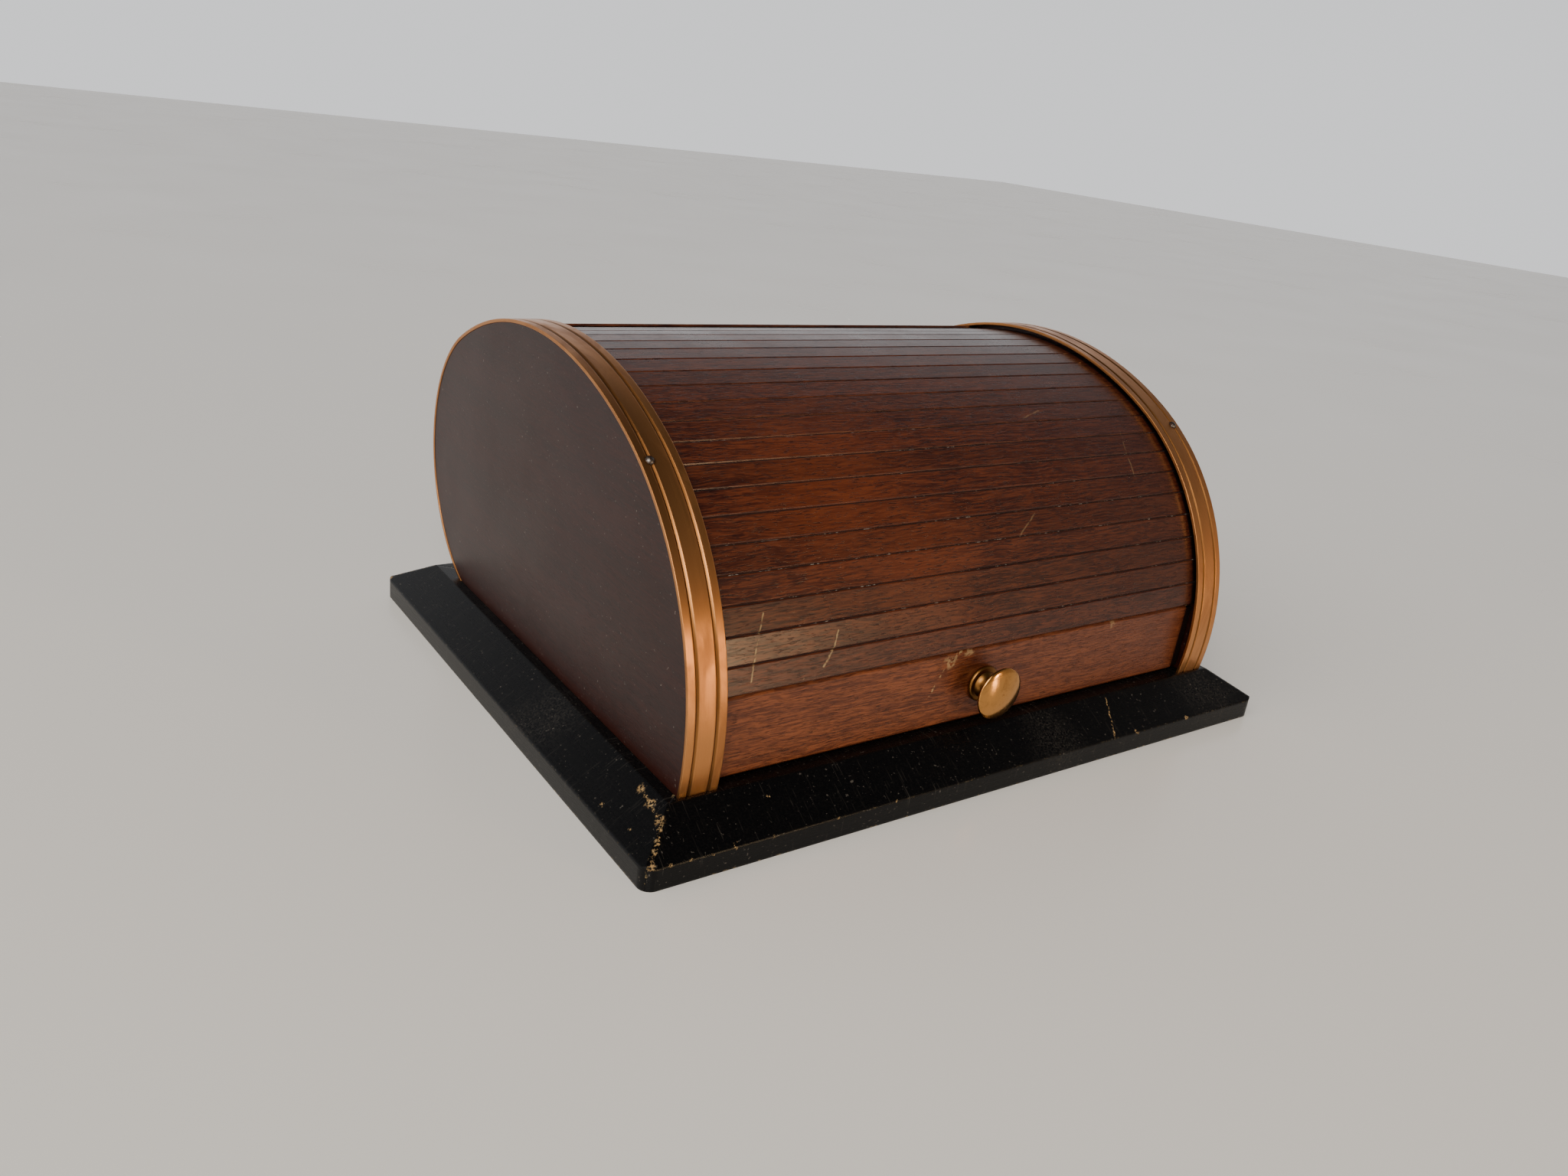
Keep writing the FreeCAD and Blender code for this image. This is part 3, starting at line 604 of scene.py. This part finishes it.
def satin_brass_strip(brass, box, pin_rings):
    """Bands: red brass strip, rolled, grooved along both edges and lacquered. The face is satin with lines
    that follow the strip, the grooves hold dark polish, and the thin edges catch the light."""
    material, tree = new_material("satin_brass_strip")
    place = add(tree, "TexCoord", give="Object")
    # Folded at the middle of the box, of the band and of the groove, so that one groove stands for all four
    off = add(tree, "SeparateXYZ", {0: place}, give="X")
    groove = (box[1].x - box[0].x) / 2 - brass.groove_in
    for fold in (0.0, abs(box[0].x + box[1].x) / 2, groove):
        off = add(tree, "Math", {0: off, 1: fold}, operation="SUBTRACT")
        off = add(tree, "Math", {0: off}, operation="ABSOLUTE")
    in_groove = near_any(tree, [(off, 0.55 * MM, 0.25 * MM)])
    lines = noise(tree, place, [brass.brushing, 40 * MM, 40 * MM], detail=3.0)
    cloud = [7 * MM, 16 * MM, 16 * MM]
    tarnish = spots(tree, place, cloud, 0.42, 0.72, detail=5.0, distortion=0.5, roughness=0.6)
    worn, rounded = edges(tree, 0.3 * MM)
    base = layered(
        tree,
        brass.strip,
        (tarnish, 0.65, brass.strip_dull),
        (lines, 0.25, brass.strip_dull),
        (worn, 0.6, brass.strip),
        (in_groove, 0.75, brass.knob_dull),
        (patches(tree, place, pin_rings, soft=0.6), 0.85, brass.knob_dull),
    )
    by_lines = 0.12
    rough = brass.strip_rough - by_lines / 2
    rough = add(tree, "Math", {0: tarnish, 1: 0.14, 2: rough}, operation="MULTIPLY_ADD")
    surface(
        tree,
        Base_Color=base,
        Metallic=1.0,
        Roughness=add(tree, "Math", {0: lines, 1: by_lines, 2: rough}, operation="MULTIPLY_ADD"),
        Normal=add(tree, "Bump", {"Distance": 0.012 * MM, "Height": lines, "Normal": rounded}),
        Anisotropic=0.35,
    )
    return material


def turned_brass(brass):
    """Knob: yellow brass, turned and polished by hand and by use. The face is nearly a mirror with faint
    rings and small dents at its middle, and a brown patina stays in the hollow of the neck."""
    material, tree = new_material("turned_brass")
    place = add(tree, "TexCoord", give="Object")
    flat = add(tree, "VectorMath", {0: place, 1: (1, 1, 0)}, operation="MULTIPLY")
    out = add(tree, "VectorMath", {0: flat}, operation="LENGTH", give="Value")
    high = add(tree, "SeparateXYZ", {0: place}, give="Z")
    rings = noise(tree, add(tree, "CombineXYZ", {"X": out}), [brass.ring] * 3)
    dents = spots(tree, place, [0.9 * MM] * 3, 0.62, 0.72, detail=1.0)
    middle = near_any(tree, [(out, 3.0 * MM, 1.2 * MM)])
    dents = add(tree, "Math", {0: dents, 1: middle}, operation="MULTIPLY")
    clouds = spots(tree, place, [3 * MM] * 3, 0.45, 0.70, detail=5.0, distortion=0.4, roughness=0.6)
    hollow = near_any(tree, [(high, 6.2 * MM, 4.6 * MM)])
    marks = ({0: clouds, 1: 0.35}, {0: hollow, 1: 0.7}, {0: dents, 1: 0.5})
    dull = either(tree, [add(tree, "Math", mark, operation="MULTIPLY") for mark in marks])
    raised = add(tree, "Math", {0: rings, 1: 0.15}, operation="MULTIPLY")
    relief = add(tree, "Math", {0: raised, 1: dents}, operation="SUBTRACT")
    surface(
        tree,
        Base_Color=layered(tree, brass.knob, (dull, 1.0, brass.knob_dull)),
        Metallic=1.0,
        Roughness=add(tree, "Math", {0: dull, 1: 0.30, 2: brass.knob_rough}, operation="MULTIPLY_ADD"),
        Normal=add(tree, "Bump", {"Distance": 0.015 * MM, "Height": relief}),
    )
    return material


def planed_beech(wood):
    """Inner parts: pale wood, planed and left bare. It is matt and straw-coloured, with short flecks in its
    grain and the odd brown smear of glue."""
    material, tree = new_material("planed_beech")
    place = add(tree, "TexCoord", give="Object")
    figure, pores = wood_grain(tree, place, place, wood, along="Y", coarse=2.5)
    smear = spots(tree, place, [26 * MM] * 3, 0.55, 0.75, detail=5.0, distortion=0.6, roughness=0.6)
    base = layered(
        tree,
        wood.pale_dark,
        (figure, 1.0, wood.pale_light),
        (pores, 0.35, wood.rail_dark),
        (smear, 0.35, wood.rail_dark),
    )
    relief = add(tree, "Bump", {"Distance": 0.04 * MM, "Height": pores}, invert=True)
    surface(tree, Base_Color=base, Roughness=0.62, Normal=relief)
    return material


def woven_linen(wood):
    """Canvas behind the slats: plain-woven linen, glued with hide glue. The threads cross over and under
    every 0.7 mm, which is drawn as it is, and the glue has browned them in places."""
    material, tree = new_material("woven_linen")
    place = add(tree, "TexCoord", give="Object")
    thread = 0.7 * MM
    phase = add(tree, "VectorMath", {0: place, 1: [math.tau / thread] * 3}, operation="MULTIPLY")
    threads = [add(tree, "SeparateXYZ", {0: phase}, give=axis) for axis in "XZ"]
    warp, weft = [add(tree, "Math", {0: run}, operation="SINE") for run in threads]
    crossing = add(tree, "Math", {0: warp, 1: weft}, operation="MULTIPLY")
    over = add(tree, "MapRange", {"Value": crossing, "From Min": -1.0}, interpolation_type="SMOOTHSTEP")
    glue = spots(tree, place, [9 * MM] * 3, 0.45, 0.70, detail=4.0)
    base = layered(tree, wood.pale_dark, (over, 1.0, wood.bare), (glue, 0.45, wood.rail_dark))
    relief = add(tree, "Bump", {"Distance": 0.12 * MM, "Height": over})
    surface(tree, Base_Color=base, Roughness=0.85, Normal=relief, Sheen_Weight=0.2)
    return material


def aged_steel(fasteners):
    """Screws, tacks and pins: turned and cut steel, under a brown film. The edges of the heads have stayed
    bright where they have been rubbed."""
    material, tree = new_material("aged_steel")
    place = add(tree, "TexCoord", give="Object")
    film = spots(tree, place, [0.8 * MM] * 3, 0.40, 0.62, detail=5.0, roughness=0.65)
    worn, rounded = edges(tree, 0.25 * MM)
    film = add(tree, "Math", {0: worn, 1: -0.6, 2: film}, operation="MULTIPLY_ADD", use_clamp=True)
    surface(
        tree,
        Base_Color=layered(tree, fasteners.steel, (film, 1.0, fasteners.rust)),
        Metallic=1.0,
        Roughness=add(tree, "MapRange", {"Value": film, "To Min": 0.30, "To Max": 0.62}),
        Normal=add(tree, "Bump", {"Distance": 0.02 * MM, "Height": film, "Normal": rounded}),
    )
    return material


def dust_and_painted_seam_shade(wood):
    """Seams between the slats: matt grey crumbs of dust and old wax, on a dark base that is painted shade of
    the gaps where none is left.
    """
    material, tree = new_material("dust_and_painted_seam_shade")
    place = add(tree, "TexCoord", give="Object")
    crumbs = spots(tree, place, [1.4 * MM, 0.9 * MM, 0.9 * MM], 0.55, 0.64, detail=4.0, roughness=0.7)
    runs = spots(tree, place, [30 * MM, 9 * MM, 9 * MM], 0.40, 0.62)
    crumbs = add(tree, "Math", {0: crumbs, 1: runs}, operation="MULTIPLY")
    # The dark base is painted shade in the seam's gap; the grey crumbs are dust and old wax
    surface(tree, Base_Color=layered(tree, wood.pore, (crumbs, 0.5, wood.dust)), Roughness=0.9)
    return material


def table_lacquer(stage):
    """Table: pale lacquered board, sprayed and level, which gives a soft low reflection."""
    material, tree = new_material("table_lacquer")
    place = add(tree, "TexCoord", give="Object")
    level = noise(tree, place, [120 * MM] * 3)
    surface(
        tree,
        Base_Color=stage.floor,
        Roughness=add(tree, "MapRange", {"Value": level, "To Min": 0.22, "To Max": 0.30}),
        Specular_IOR_Level=0.4,
    )
    return material


# Mesh building


def dress(names, material):
    """Gives these nodes one material."""
    for name in names:
        mesh = NODES[name].data
        mesh.materials.clear()
        mesh.materials.append(material)


def made_once(name, make):
    """The material of this name, made if it isn't there yet."""
    return bpy.data.materials.get(name) or make()


def standing(foot, out):
    """Place of something modelled about Z that stands on a point and faces this way."""
    return Matrix.Translation(foot) @ out.to_track_quat("Z", "X").to_matrix().to_4x4()


def new_piece(name, mesh, material, body, place=Matrix()):
    """Object of a mesh in the scene, in its place, with its material, riding on a body."""
    piece = bpy.data.objects.new(name, mesh)
    piece.matrix_world = place
    bpy.context.scene.collection.objects.link(piece)
    mesh.materials.append(material)
    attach(piece, body)
    return piece


def mesh_of(name, shape, smooth_below=None):
    """Mesh from a bmesh, flat or smooth where its faces meet below an angle in degrees."""
    bmesh.ops.recalc_face_normals(shape, faces=shape.faces)
    mesh = bpy.data.meshes.new(name)
    shape.to_mesh(mesh)
    shape.free()
    if smooth_below is not None:
        mesh.shade_smooth()
        mesh.set_sharp_from_angle(angle=math.radians(smooth_below))
    return mesh


def section(name):
    """Corners (y, z) of a straight piece's section, from its right end."""
    points = [v.co for v in NODES[name].data.vertices]
    end = max(p.x for p in points)
    digits = 7  # of a metre, so that a corner that several faces share counts once
    return {(round(p.y, digits), round(p.z, digits)) for p in points if end - p.x < 0.01 * MM}


def turn(shape, profile, steps):
    """Spins (radius, height) points about Z into a closed surface whose ends lie on the axis."""
    angles = [math.tau * i / steps for i in range(steps)]
    rings = []
    for r, h in profile:
        if r == 0:
            rings.append([shape.verts.new((0, 0, h))] * steps)
        else:
            rings.append([shape.verts.new((r * math.cos(a), r * math.sin(a), h)) for a in angles])
    for low, high in zip(rings, rings[1:]):
        for i in range(steps):
            corners = (low[i - 1], low[i], high[i], high[i - 1])
            shape.faces.new(list(dict.fromkeys(corners)))  # an end on the axis gives one corner, not two


def arc_points(centre, radius, start, end, steps):
    """Points of an arc in a plane, by angles in degrees from its first axis."""
    angles = [math.radians(start + (end - start) * i / steps) for i in range(steps + 1)]
    return [(centre[0] + radius * math.cos(a), centre[1] + radius * math.sin(a)) for a in angles]


def knob_profile(knob, total, radius):
    """Profile (radius, height) of the knob from the middle of its collar's foot to the middle of its dome."""
    rim_r = knob.rim / 2
    rim_mid = total - knob.dome - rim_r
    neck, collar, bead = knob.neck / 2, knob.collar / 2, knob.collar_thick / 2
    cove_low = knob.collar_thick + 0.2 * MM
    cove_high = rim_mid - rim_r * 1.6
    foot_and_bead = [(0, 0), (collar - bead, 0)] + arc_points((collar - bead, bead), bead, -80, 80, 8)
    cove = [
        (collar * 0.72, knob.collar_thick),
        (neck + 0.9 * MM, cove_low + 0.25 * MM),
        (neck + 0.2 * MM, cove_low + 0.9 * MM),
        (neck, (cove_low + cove_high) / 2),
        (neck + 0.25 * MM, cove_high - 0.5 * MM),
        (neck + 1.2 * MM, cove_high + 0.1 * MM),
    ]
    back_of_head = [(radius * 0.82, rim_mid - rim_r * 1.05)]
    rim = arc_points((radius - rim_r, rim_mid), rim_r, -75, 60, 8)
    dome = [(r, total - knob.dome + h) for r, h in arc_dome(radius - rim_r * 0.4, knob.dome, 14)]
    return foot_and_bead + cove + back_of_head + rim + dome


def domed_head(shape, foot, out, radius, rise):
    """Adds a round head standing on a point, its back a little under the surface."""
    head = bmesh.new()
    back = -rise / 3
    turn(head, [(0, back), (radius, back), (radius, 0)] + arc_dome(radius, rise, 5), 24)
    join(shape, head, standing(foot, out))


def arc_dome(radius, rise, steps):
    """Points of a shallow dome from just inside its edge to its middle."""
    ball = (radius**2 + rise**2) / (2 * rise)
    edge = math.degrees(math.asin(min(1.0, radius / ball)))
    points = arc_points((0, rise - ball), ball, 90 - edge, 90, steps)
    return points[1:-1] + [(0, rise)]


def join(shape, other, place):
    """Adds another bmesh to a shape, in its place, and frees it."""
    other.transform(place)
    spare = bpy.data.meshes.new("spare")
    other.to_mesh(spare)
    other.free()
    shape.from_mesh(spare)
    bpy.data.meshes.remove(spare)


def slotted_head(shape, centre, out, radius, slot, deep, turn_by):
    """Adds a flat screw head with a slot cut across it, in two halves and the slot's floor between them."""
    head = bmesh.new()
    half, back = slot / 2, -deep * 1.6  # the head's rim goes down past the floor of its slot
    edge = math.degrees(math.asin(half / radius))
    for side in (0, 180):
        rim = arc_points((0, 0), radius, side + edge, side + 180 - edge, 16)
        top = [head.verts.new((x, y, 0)) for x, y in rim]
        low = [head.verts.new((x, y, back)) for x, y in rim]
        head.faces.new(top)
        for i in range(len(rim) - 1):
            head.faces.new([low[i], low[i + 1], top[i + 1], top[i]])
        head.faces.new([low[-1], low[0], top[0], top[-1]])
    reach = math.sqrt(radius**2 - half**2)
    floor = [(-reach, -half), (reach, -half), (reach, half), (-reach, half)]
    head.faces.new([head.verts.new((x, y, -deep)) for x, y in floor])
    join(shape, head, standing(centre, out) @ Matrix.Rotation(turn_by, 4, "Z"))


def islands(name):
    """Vertex places of each loose part of a node, in the order of their centres."""
    shape = bmesh.new()
    shape.from_mesh(NODES[name].data)
    bmesh.ops.remove_doubles(shape, verts=shape.verts, dist=0.001 * MM)
    left = set(shape.verts)
    parts = []
    while left:
        found, todo = [], [left.pop()]
        while todo:
            vert = todo.pop()
            found.append(vert.co.copy())
            near = [e.other_vert(vert) for e in vert.link_edges]
            near = [v for v in near if v in left]
            left.difference_update(near)
            todo += near
        parts.append(found)
    shape.free()
    return sorted(parts, key=lambda points: tuple(sum(points, Vector()) / len(points)))


# Operators


class TAMBOUR_OT_plinth(bpy.types.Operator):
    """Finish the mouldings of the plinth and the board between them"""

    bl_idname = "tambour.plinth"
    bl_label = "Plinth"

    def execute(self, context):
        wood = context.scene.tambour_wood
        dress(("plinth_front", "plinth_back"), ebonised_lacquer(wood, "ebonised_lacquer_x", "X"))
        dress(("plinth_left", "plinth_right"), ebonised_lacquer(wood, "ebonised_lacquer_y", "Y"))
        dress(("base_board",), made_once("planed_beech", lambda: planed_beech(wood)))
        return {"FINISHED"}


class TAMBOUR_OT_cheeks(bpy.types.Operator):
    """Finish the two cheeks"""

    bl_idname = "tambour.cheeks"
    bl_label = "Cheeks"

    def execute(self, context):
        dress(["cheek_" + side for side in SIDES], stained_mahogany_cheek(context.scene.tambour_wood))
        return {"FINISHED"}


class TAMBOUR_OT_bands(bpy.types.Operator):
    """Finish the brass bands and make the domed heads of their pins"""

    bl_idname = "tambour.bands"
    bl_label = "Bands"

    def execute(self, context):
        scene = context.scene
        brass, fasteners = scene.tambour_brass, scene.tambour_fasteners
        steel = made_once("aged_steel", lambda: aged_steel(fasteners))
        pin_rings = []  # old polish gathers round each pin, three quarters of its head's diameter out
        for side in SIDES:
            shape = bmesh.new()
            for points in islands("band_pins_" + side):
                out = self.direction(points)
                foot = self.foot(points, out, fasteners.pin_rise)
                domed_head(shape, foot, out, fasteners.pin_head / 2, fasteners.pin_rise)
                pin_rings.append([*(foot / MM), 0.75 * fasteners.pin_head / MM])
            name = "pin_heads_" + side
            piece = new_piece(name, mesh_of(name, shape, 40), steel, "case")
            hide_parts("band_pins_" + side)
        dress(["band_" + side for side in SIDES], satin_brass_strip(brass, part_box("band_right"), pin_rings))
        return {"FINISHED"}

    @staticmethod
    def direction(points):
        """Outward direction of a pin: along its length, away from the axis."""
        centre = sum(points, Vector()) / len(points)
        far = max(points, key=lambda p: (p - centre).length)
        near = max(points, key=lambda p: (p - far).length)
        line = (far - near).normalized()
        line.x = 0
        line.normalize()
        away = centre - Vector((centre.x, HINGE.y, HINGE.z))
        return line if line.dot(away) > 0 else -line

    @staticmethod
    def foot(points, out, rise):
        """Point on the pin's line where its head stands on the band."""
        top = max(p.dot(out) for p in points)
        outer_end = [p for p in points if top - p.dot(out) < rise / 10]
        return sum(outer_end, Vector()) / len(outer_end) - out * rise


class TAMBOUR_OT_slats(bpy.types.Operator):
    """Finish the slats and the mock-slatted back, and lay dust and painted shade in the seams"""

    bl_idname = "tambour.slats"
    bl_label = "Slats"

    def execute(self, context):
        wood = context.scene.tambour_wood
        dress(SLATS + ["back_panel"], french_polished_mahogany(wood))
        # The slats' material multiplies in the object's colour: some slats are lighter and redder than others
        for index, name in enumerate(SLATS):
            sway = 0.5 + 0.5 * math.sin(index * 2.4 + 0.6)
            NODES[name].color = (0.88 + 0.16 * sway, 0.88 + 0.13 * sway, 0.88 + 0.12 * sway, 1.0)
        # A dark strip in each seam: painted shade of the gap, with crumbs of dust on it
        shape = bmesh.new()
        for low, high in zip(SLATS, SLATS[1:]):
            self.seam(shape, low, high)
        new_piece("seam_dust", mesh_of("seam_dust", shape), dust_and_painted_seam_shade(wood), "tambour")
        return {"FINISHED"}

    @staticmethod
    def seam(shape, low, high):
        """Adds a strip that lies in the seam between two slats, under their faces and short of their ends."""
        under, short = 0.08 * MM, 0.5 * MM
        pairs = [(Vector((0, *a)), Vector((0, *b))) for a in section(low) for b in section(high)]
        centre = Vector((0, HINGE.y, HINGE.z))
        close = sorted(pairs, key=lambda pair: (pair[0] - pair[1]).length)[:2]
        a, b = max(close, key=lambda pair: (pair[0] - centre).length)
        inward = (centre - (a + b) / 2).normalized() * under
        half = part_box(low)[1].x - short
        corners = [(-half, a), (half, a), (half, b), (-half, b)]
        shape.faces.new([shape.verts.new((x, p.y + inward.y, p.z + inward.z)) for x, p in corners])


class TAMBOUR_OT_rail(bpy.types.Operator):
    """Finish the lead rail"""

    bl_idname = "tambour.rail"
    bl_label = "Rail"

    def execute(self, context):
        dress(("lead_rail",), oiled_mahogany_rail(context.scene.tambour_wood))
        return {"FINISHED"}


class TAMBOUR_OT_knob(bpy.types.Operator):
    """Turn the brass knob with its bead, cove and rounded rim"""

    bl_idname = "tambour.knob"
    bl_label = "Knob"

    def execute(self, context):
        scene = context.scene
        knob = scene.tambour_knob
        low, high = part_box("knob")
        middle = (low + high) / 2
        out = middle - HINGE
        out.x = 0
        out.normalize()
        reach = [v.co.dot(out) for v in NODES["knob"].data.vertices]
        foot = middle + out * (min(reach) - middle.dot(out))
        foot.x = 0
        shape = bmesh.new()
        turn(shape, knob_profile(knob, max(reach) - min(reach), (high.x - low.x) / 2), knob.segments)
        mesh, metal = mesh_of("turned_knob", shape, 35), turned_brass(scene.tambour_brass)
        piece = new_piece("turned_knob", mesh, metal, "tambour", standing(foot, out))
        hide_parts("knob")
        return {"FINISHED"}


class TAMBOUR_OT_inside(bpy.types.Operator):
    """Finish the runners, stops, floor, batten and canvas"""

    bl_idname = "tambour.inside"
    bl_label = "Inside"

    def execute(self, context):
        wood = context.scene.tambour_wood
        bare = [kind + side for kind in ("runner_", "stop_block_") for side in SIDES]
        dress(bare + ["floor_panel", "batten"], made_once("planed_beech", lambda: planed_beech(wood)))
        dress(("canvas",), woven_linen(wood))
        return {"FINISHED"}


class TAMBOUR_OT_fasteners(bpy.types.Operator):
    """Make the slotted heads of the screws and finish the tacks"""

    bl_idname = "tambour.fasteners"
    bl_label = "Screws and tacks"

    def execute(self, context):
        fasteners = context.scene.tambour_fasteners
        steel = made_once("aged_steel", lambda: aged_steel(fasteners))
        dress(("batten_tacks", "cheek_screws", "knob_screw"), steel)
        shape = bmesh.new()
        for index, points in enumerate(islands("cheek_screws")):
            foot = min(p.z for p in points)
            head = [p for p in points if p.z - foot < 0.01 * MM]
            centre = sum(head, Vector()) / len(head)
            radius = max((p - centre).length for p in head)
            down, turned_by = Vector((0, 0, -1)), index * 1.1  # each slot stands as its screw came to rest
            slotted_head(shape, centre, down, radius, fasteners.slot, fasteners.slot_deep, turned_by)
        piece = new_piece("screw_heads", mesh_of("screw_heads", shape, 30), steel, "case")
        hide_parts("cheek_screws")
        return {"FINISHED"}


class TAMBOUR_OT_stage(bpy.types.Operator):
    """Set the pale floor, the soft lights and the camera"""

    bl_idname = "tambour.stage"
    bl_label = "Stage"

    def execute(self, context):
        scene = context.scene
        stage = scene.tambour_stage
        self.floor(scene, stage)
        self.surround(scene, stage)
        self.daylight(scene, stage)
        size = (stage.window_size, stage.window_size)
        self.softbox(scene, "window", stage.window, stage.window_tint, size, WINDOW_PLACE)
        size = (stage.glint_width, stage.glint_height)
        self.softbox(scene, "glint", stage.glint, stage.glint_tint, size, GLINT_PLACE)
        self.camera(scene, stage)
        return {"FINISHED"}

    @staticmethod
    def floor(scene, stage):
        """Flat table, a hair under the box so that the two faces don't lie in one plane."""
        shape = bmesh.new()
        half, top = stage.floor_size / 2, CAD_BOX[0].z - 0.02 * MM
        corners = ((-half, -half), (half, -half), (half, half), (-half, half))
        shape.faces.new([shape.verts.new((x, y, top)) for x, y in corners])
        floor = bpy.data.objects.new("floor", mesh_of("floor", shape))
        floor.data.materials.append(table_lacquer(stage))
        scene.collection.objects.link(floor)

    @staticmethod
    def surround(scene, stage):
        """Pale wall round the back, a dimmer room in front and a dim ceiling."""
        world = bpy.data.worlds.new("surround")
        world.use_nodes = True
        tree = world.node_tree
        tree.nodes.clear()
        towards = add(tree, "TexCoord", give="Generated")
        back = {"Value": add(tree, "SeparateXYZ", {0: towards}, give="Y"), "From Min": -0.5, "From Max": 0.5}
        down = {"Value": add(tree, "SeparateXYZ", {0: towards}, give="Z"), "From Min": 0.85, "From Max": 0.05}
        behind, low = [add(tree, "MapRange", span, interpolation_type="SMOOTHSTEP") for span in (back, down)]
        walls = layered(tree, stage.room, (behind, 1.0, stage.wall))
        seen = layered(tree, stage.ceiling, (low, 1.0, walls))
        background = add(tree, "Background", {"Color": seen, "Strength": stage.surround})
        add(tree, "OutputWorld", {"Surface": background})
        scene.world = world

    @staticmethod
    def daylight(scene, stage):
        """Broad even light from high on the left."""
        light = bpy.data.lights.new("daylight", "SUN")
        light.energy = stage.daylight
        light.angle = stage.daylight_spread
        light.color = stage.daylight_tint[:3]
        lamp = bpy.data.objects.new("daylight", light)
        lamp.rotation_mode = "QUATERNION"
        lamp.rotation_quaternion = DAYLIGHT_RUN.to_track_quat("-Z", "Y")
        scene.collection.objects.link(lamp)

    @staticmethod
    def softbox(scene, name, power, tint, size, place):
        """Flat soft light, this wide and high, aimed at the middle of the box."""
        light = bpy.data.lights.new(name, "AREA")
        light.shape = "RECTANGLE"
        light.size, light.size_y = size
        light.energy = power
        light.color = tint[:3]
        lamp = bpy.data.objects.new(name, light)
        middle = (CAD_BOX[0] + CAD_BOX[1]) / 2
        lamp.location = place
        lamp.rotation_mode = "QUATERNION"
        lamp.rotation_quaternion = (middle - place).to_track_quat("-Z", "Y")
        scene.collection.objects.link(lamp)

    @staticmethod
    def camera(scene, stage):
        """Camera at the viewing angle, tilted about its own line of sight."""
        data = bpy.data.cameras.new("camera")
        data.sensor_width = 36.0
        data.lens = stage.lens
        data.clip_start = 10 * MM
        camera = bpy.data.objects.new("camera", data)
        a, e = stage.azimuth, stage.elevation
        back = Vector((math.sin(a) * math.cos(e), -math.cos(a) * math.cos(e), math.sin(e)))
        level = (-back).to_track_quat("-Z", "Y").to_matrix()
        tilted = level @ Matrix.Rotation(stage.roll, 3, "Z")
        camera.matrix_world = Matrix.Translation(Vector(stage.place)) @ tilted.to_4x4()
        scene.collection.objects.link(camera)
        scene.camera = camera


class TAMBOUR_PT_box(bpy.types.Panel):
    """Lists the pieces of the box and their settings"""

    bl_idname = "TAMBOUR_PT_box"
    bl_label = "Tambour Lid Box"
    bl_space_type = "VIEW_3D"
    bl_region_type = "UI"
    bl_category = "Tambour Box"

    def draw(self, context):
        layout = self.layout
        for operator in OPERATORS:
            layout.operator(operator.bl_idname)
        for name, settings in SETTINGS.items():
            box = layout.box()
            box.label(text=settings.__doc__)
            for key in settings.__annotations__:
                box.prop(getattr(context.scene, name), key)


SETTINGS = {
    "tambour_wood": WoodSettings,
    "tambour_brass": BrassSettings,
    "tambour_knob": KnobSettings,
    "tambour_fasteners": FastenerSettings,
    "tambour_stage": StageSettings,
}
OPERATORS = (
    TAMBOUR_OT_plinth,
    TAMBOUR_OT_cheeks,
    TAMBOUR_OT_bands,
    TAMBOUR_OT_slats,
    TAMBOUR_OT_rail,
    TAMBOUR_OT_knob,
    TAMBOUR_OT_inside,
    TAMBOUR_OT_fasteners,
    TAMBOUR_OT_stage,
)


def register():
    """Registers the settings, the operators and the panel."""
    for name, settings in SETTINGS.items():
        bpy.utils.register_class(settings)
        setattr(bpy.types.Scene, name, PointerProperty(type=settings))
    for operator in OPERATORS:
        bpy.utils.register_class(operator)
    bpy.utils.register_class(TAMBOUR_PT_box)


def unregister():
    """Takes all of that away again."""
    bpy.utils.unregister_class(TAMBOUR_PT_box)
    for operator in reversed(OPERATORS):
        bpy.utils.unregister_class(operator)
    for name, settings in reversed(SETTINGS.items()):
        delattr(bpy.types.Scene, name)
        bpy.utils.unregister_class(settings)


def main():
    """Dresses the box piece by piece and sets the stage."""
    register()
    for operator in OPERATORS:
        name = operator.bl_idname.split(".")[1]
        getattr(bpy.ops.tambour, name)()


if __name__ == "__main__":
    main()
